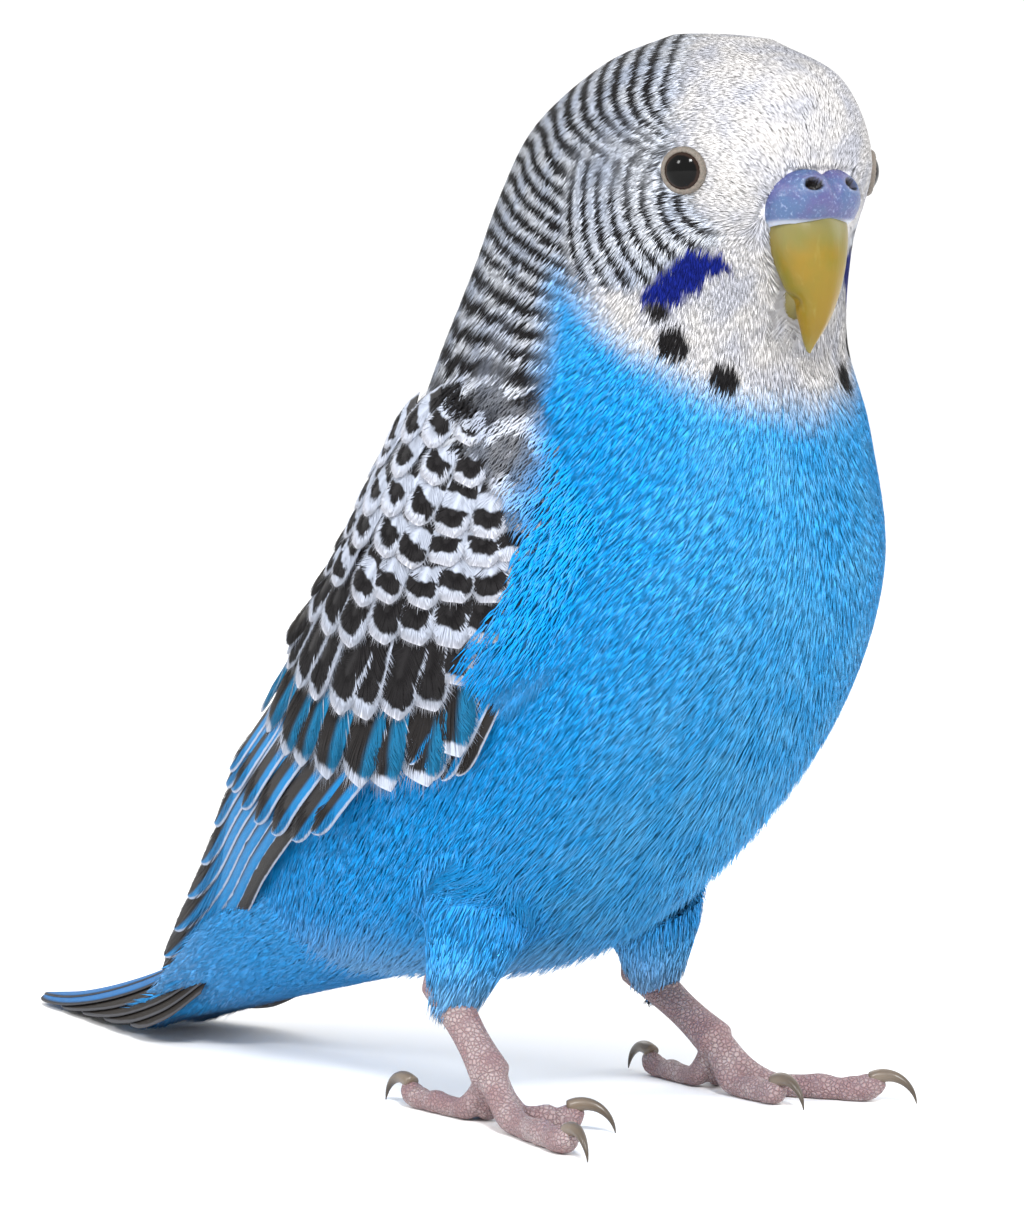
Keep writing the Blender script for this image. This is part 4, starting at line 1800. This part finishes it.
def foot_grids(leg):
    """The shank and the toes of one foot."""
    heel, joint = (np.array((*leg[place], leg["side"] * FOOT_OUT)) for place in ("heel", "joint"))
    shank = dense_line([heel + (joint - heel) * s for s in (-0.3, 0.3, 0.65, 1.0)], SHANK_RADII, 12)
    grids = [limb_grid(*shank, 24, True, LIMB_FLOOR)]
    for number in leg["toes"]:
        line, sizes = dense_line(*toe_line(leg, number), 28)
        share = np.linspace(0, 1, 28)
        sizes = [r * (1 + 0.05 * math.cos(s * 2 * math.pi * 5.5)) for r, s in zip(sizes, share)]
        grids.append(limb_grid(line, sizes, 24, True, LIMB_FLOOR))
    return grids


class BIRD_OT_feet(bpy.types.Operator):
    """Make the scaled feet and the claws"""

    bl_idname = "bird.feet"
    bl_label = "Feet and claws"

    def execute(self, context):
        looks = context.scene.bird_looks
        scales, horn = scale_material(looks), claw_material(looks)
        for name, leg in LEGS.items():
            grids = [frame_point(grid) for grid in foot_grids(leg)]
            foot = remeshed(object_of_grids(f"foot_skin_{name}", grids), FOOT_VOXEL, FOOT_SMOOTHING)
            finish_piece(foot, scales, "foot_skin", f"foot_{name}")
            lines = [claw_line(toe_line(leg, number)[0], looks.claw_radius / MM) for number in leg["toes"]]
            grids = [frame_point(limb_grid(*line, CLAW_SIDES)) for line in lines]
            claws = object_of_grids(f"claws_{name}", grids)
            along = np.concatenate([np.repeat(np.linspace(0, 1, CLAW_STEPS + 1), CLAW_SIDES), (0, 1)])
            lie = np.zeros((len(along) * len(lines), 3))
            lie[:, 0] = np.tile(along, len(lines))
            set_points_layer(claws.data, "lie", "FLOAT_VECTOR", lie)
            finish_piece(claws, horn, "claw", *[f"claw_{name}_{n}" for n in "1234"])
        return {"FINISHED"}


# Stage


class BIRD_OT_stage(bpy.types.Operator):
    """Set out the floor, the soft lights and the camera"""

    bl_idname = "bird.stage"
    bl_label = "Stage"

    def execute(self, context):
        scene = context.scene
        scene.view_settings.view_transform = "Standard"
        bpy.ops.mesh.primitive_plane_add(size=FLOOR_SIZE)
        floor = context.object
        floor.name = "floor"
        shades = Shades("floor", 0.75, 0.2)
        shades.set("Base Color", shades.mix(shades.noise(3.0), (0.95, 0.95, 0.95), (0.965, 0.965, 0.965)))
        floor.data.materials.append(shades.material)
        world = bpy.data.worlds.new("room")
        scene.world = world
        world.use_nodes = True
        colour, strength = world.node_tree.nodes["Background"].inputs[:2]
        colour.default_value, strength.default_value = (1.0, 1.0, 1.0, 1), ROOM_STRENGTH
        for name, place, size, power in LAMPS:
            data = bpy.data.lights.new(name, "AREA")
            data.size, data.energy = size, power
            lamp = bpy.data.objects.new(name, data)
            lamp.location = place
            lamp.rotation_euler = (LAMP_AIM - Vector(place)).to_track_quat("-Z", "Y").to_euler()
            scene.collection.objects.link(lamp)
        camera_data = bpy.data.cameras.new("camera")
        camera_data.lens, camera_data.sensor_width = CAMERA_LENS, SENSOR_WIDTH
        camera = bpy.data.objects.new("camera", camera_data)
        camera.location = CAMERA_PLACE
        level = math.cos(CAMERA_DOWN)
        look = Vector((CAMERA_WAY[0] * level, CAMERA_WAY[1] * level, -math.sin(CAMERA_DOWN)))
        camera.rotation_euler = look.to_track_quat("-Z", "Y").to_euler()
        camera_data.clip_start, camera_data.clip_end = 0.01, 20.0
        scene.collection.objects.link(camera)
        scene.camera = camera
        return {"FINISHED"}


def colour_of(name, rgb, text):
    return FloatVectorProperty(name=name, description=text, default=rgb, size=3, min=0.0, max=1.0, subtype="COLOR")


def size_of(name, millimetres, text):
    return FloatProperty(
        name=name, description=text, default=millimetres * MM, min=0.00005, precision=5, unit="LENGTH"
    )


class BirdLooks(bpy.types.PropertyGroup):
    feather_width: size_of("Feather width", 0.14, "Width of the feathers on the face; the others follow it")
    feather_length: size_of("Feather length", 1.3, "Length of the feathers on the face; the others follow it")
    barb_width: size_of("Barb width", 0.13, "Width of the loose barbs round the wing feathers")
    eye_radius: size_of("Eye radius", 2.35, "Radius of the eyeball")
    claw_radius: size_of("Claw radius", 0.72, "Thickness of a claw at its root, as a radius")
    breast_blue: colour_of("Breast blue", (0.034, 0.37, 0.84), "Sky blue of the breast")
    pale_blue: colour_of("Pale blue", (0.07, 0.43, 0.88), "Lighter blue in the breast's soft patches")
    deep_blue: colour_of("Deep blue", (0.004, 0.33, 0.86), "Stronger blue beside the wing")
    face_white: colour_of("Face white", (0.72, 0.70, 0.69), "White of the face and bib")
    shade_white: colour_of("Shaded white", (0.54, 0.55, 0.61), "Cooler white between the bars")
    bar_black: colour_of("Bar black", (0.012, 0.011, 0.012), "Black of the bars and spots")
    cheek_violet: colour_of("Cheek violet", (0.005, 0.014, 0.2), "Violet blue of the cheek patch")
    wing_white: colour_of("Wing white", (0.4, 0.44, 0.53), "Cool white of the wing feathers' edges")
    wing_dark: colour_of("Wing dark", (0.018, 0.016, 0.016), "Dark web of the flight feathers")
    teal_blue: colour_of("Teal blue", (0.006, 0.14, 0.29), "Outer web of the secondaries")
    flight_blue: colour_of("Flight blue", (0.003, 0.17, 0.42), "Outer web of the primaries")
    tail_blue: colour_of("Tail blue", (0.003, 0.12, 0.34), "Long tail feathers")
    tail_dark: colour_of("Tail dark", (0.016, 0.013, 0.011), "Dark edges of the tail feathers")
    cere_blue: colour_of("Cere blue", (0.045, 0.09, 0.2), "Blue of the cere")
    cere_violet: colour_of("Cere violet", (0.062, 0.062, 0.18), "Violet patches of the cere")
    bill_yellow: colour_of("Bill yellow", (0.14, 0.118, 0.006), "Olive yellow of the bill")
    bill_ochre: colour_of("Bill ochre", (0.2, 0.122, 0.002), "Warmer yellow down the bill's middle")
    pupil: colour_of("Pupil", (0.002, 0.002, 0.002), "Dark of the eye")
    iris: colour_of("Iris", (0.02, 0.011, 0.008), "Dark brown rim of the eye")
    eye_ring: colour_of("Eye ring", (0.13, 0.115, 0.095), "Bare skin round the eye")
    foot_pink: colour_of("Foot pink", (0.29, 0.185, 0.19), "Scales of the feet")
    foot_pale: colour_of("Foot pale", (0.38, 0.3, 0.3), "Paler scales")
    foot_groove: colour_of("Foot groove", (0.15, 0.09, 0.1), "Grooves between the scales")
    claw_base: colour_of("Claw base", (0.17, 0.13, 0.095), "Claw where it leaves the toe")
    claw_tip: colour_of("Claw tip", (0.05, 0.036, 0.024), "Point of the claw")


STEPS = ("skin", "body_coat", "head_coat", "thigh_coat", "wings", "tail", "bill", "eyes", "feet", "stage")


class BIRD_PT_panel(bpy.types.Panel):
    """Lists the pieces of the bird and their colours"""

    bl_label = "Budgerigar"
    bl_idname = "BIRD_PT_panel"
    bl_space_type = "VIEW_3D"
    bl_region_type = "UI"
    bl_category = "Bird"

    def draw(self, context):
        for step in STEPS:
            self.layout.operator(f"bird.{step}")
        for name in BirdLooks.__annotations__:
            self.layout.prop(context.scene.bird_looks, name)


CLASSES = (
    BirdLooks, BIRD_OT_skin, BIRD_OT_body_coat, BIRD_OT_head_coat, BIRD_OT_thigh_coat, BIRD_OT_wings, BIRD_OT_tail,
    BIRD_OT_bill, BIRD_OT_eyes, BIRD_OT_feet, BIRD_OT_stage, BIRD_PT_panel,
)


def register():
    for cls in CLASSES:
        bpy.utils.register_class(cls)
    bpy.types.Scene.bird_looks = PointerProperty(type=BirdLooks)


def unregister():
    del bpy.types.Scene.bird_looks
    for cls in reversed(CLASSES):
        bpy.utils.unregister_class(cls)


def main():
    register()
    for step in STEPS:
        getattr(bpy.ops.bird, step)()


if __name__ == "__main__":
    main()
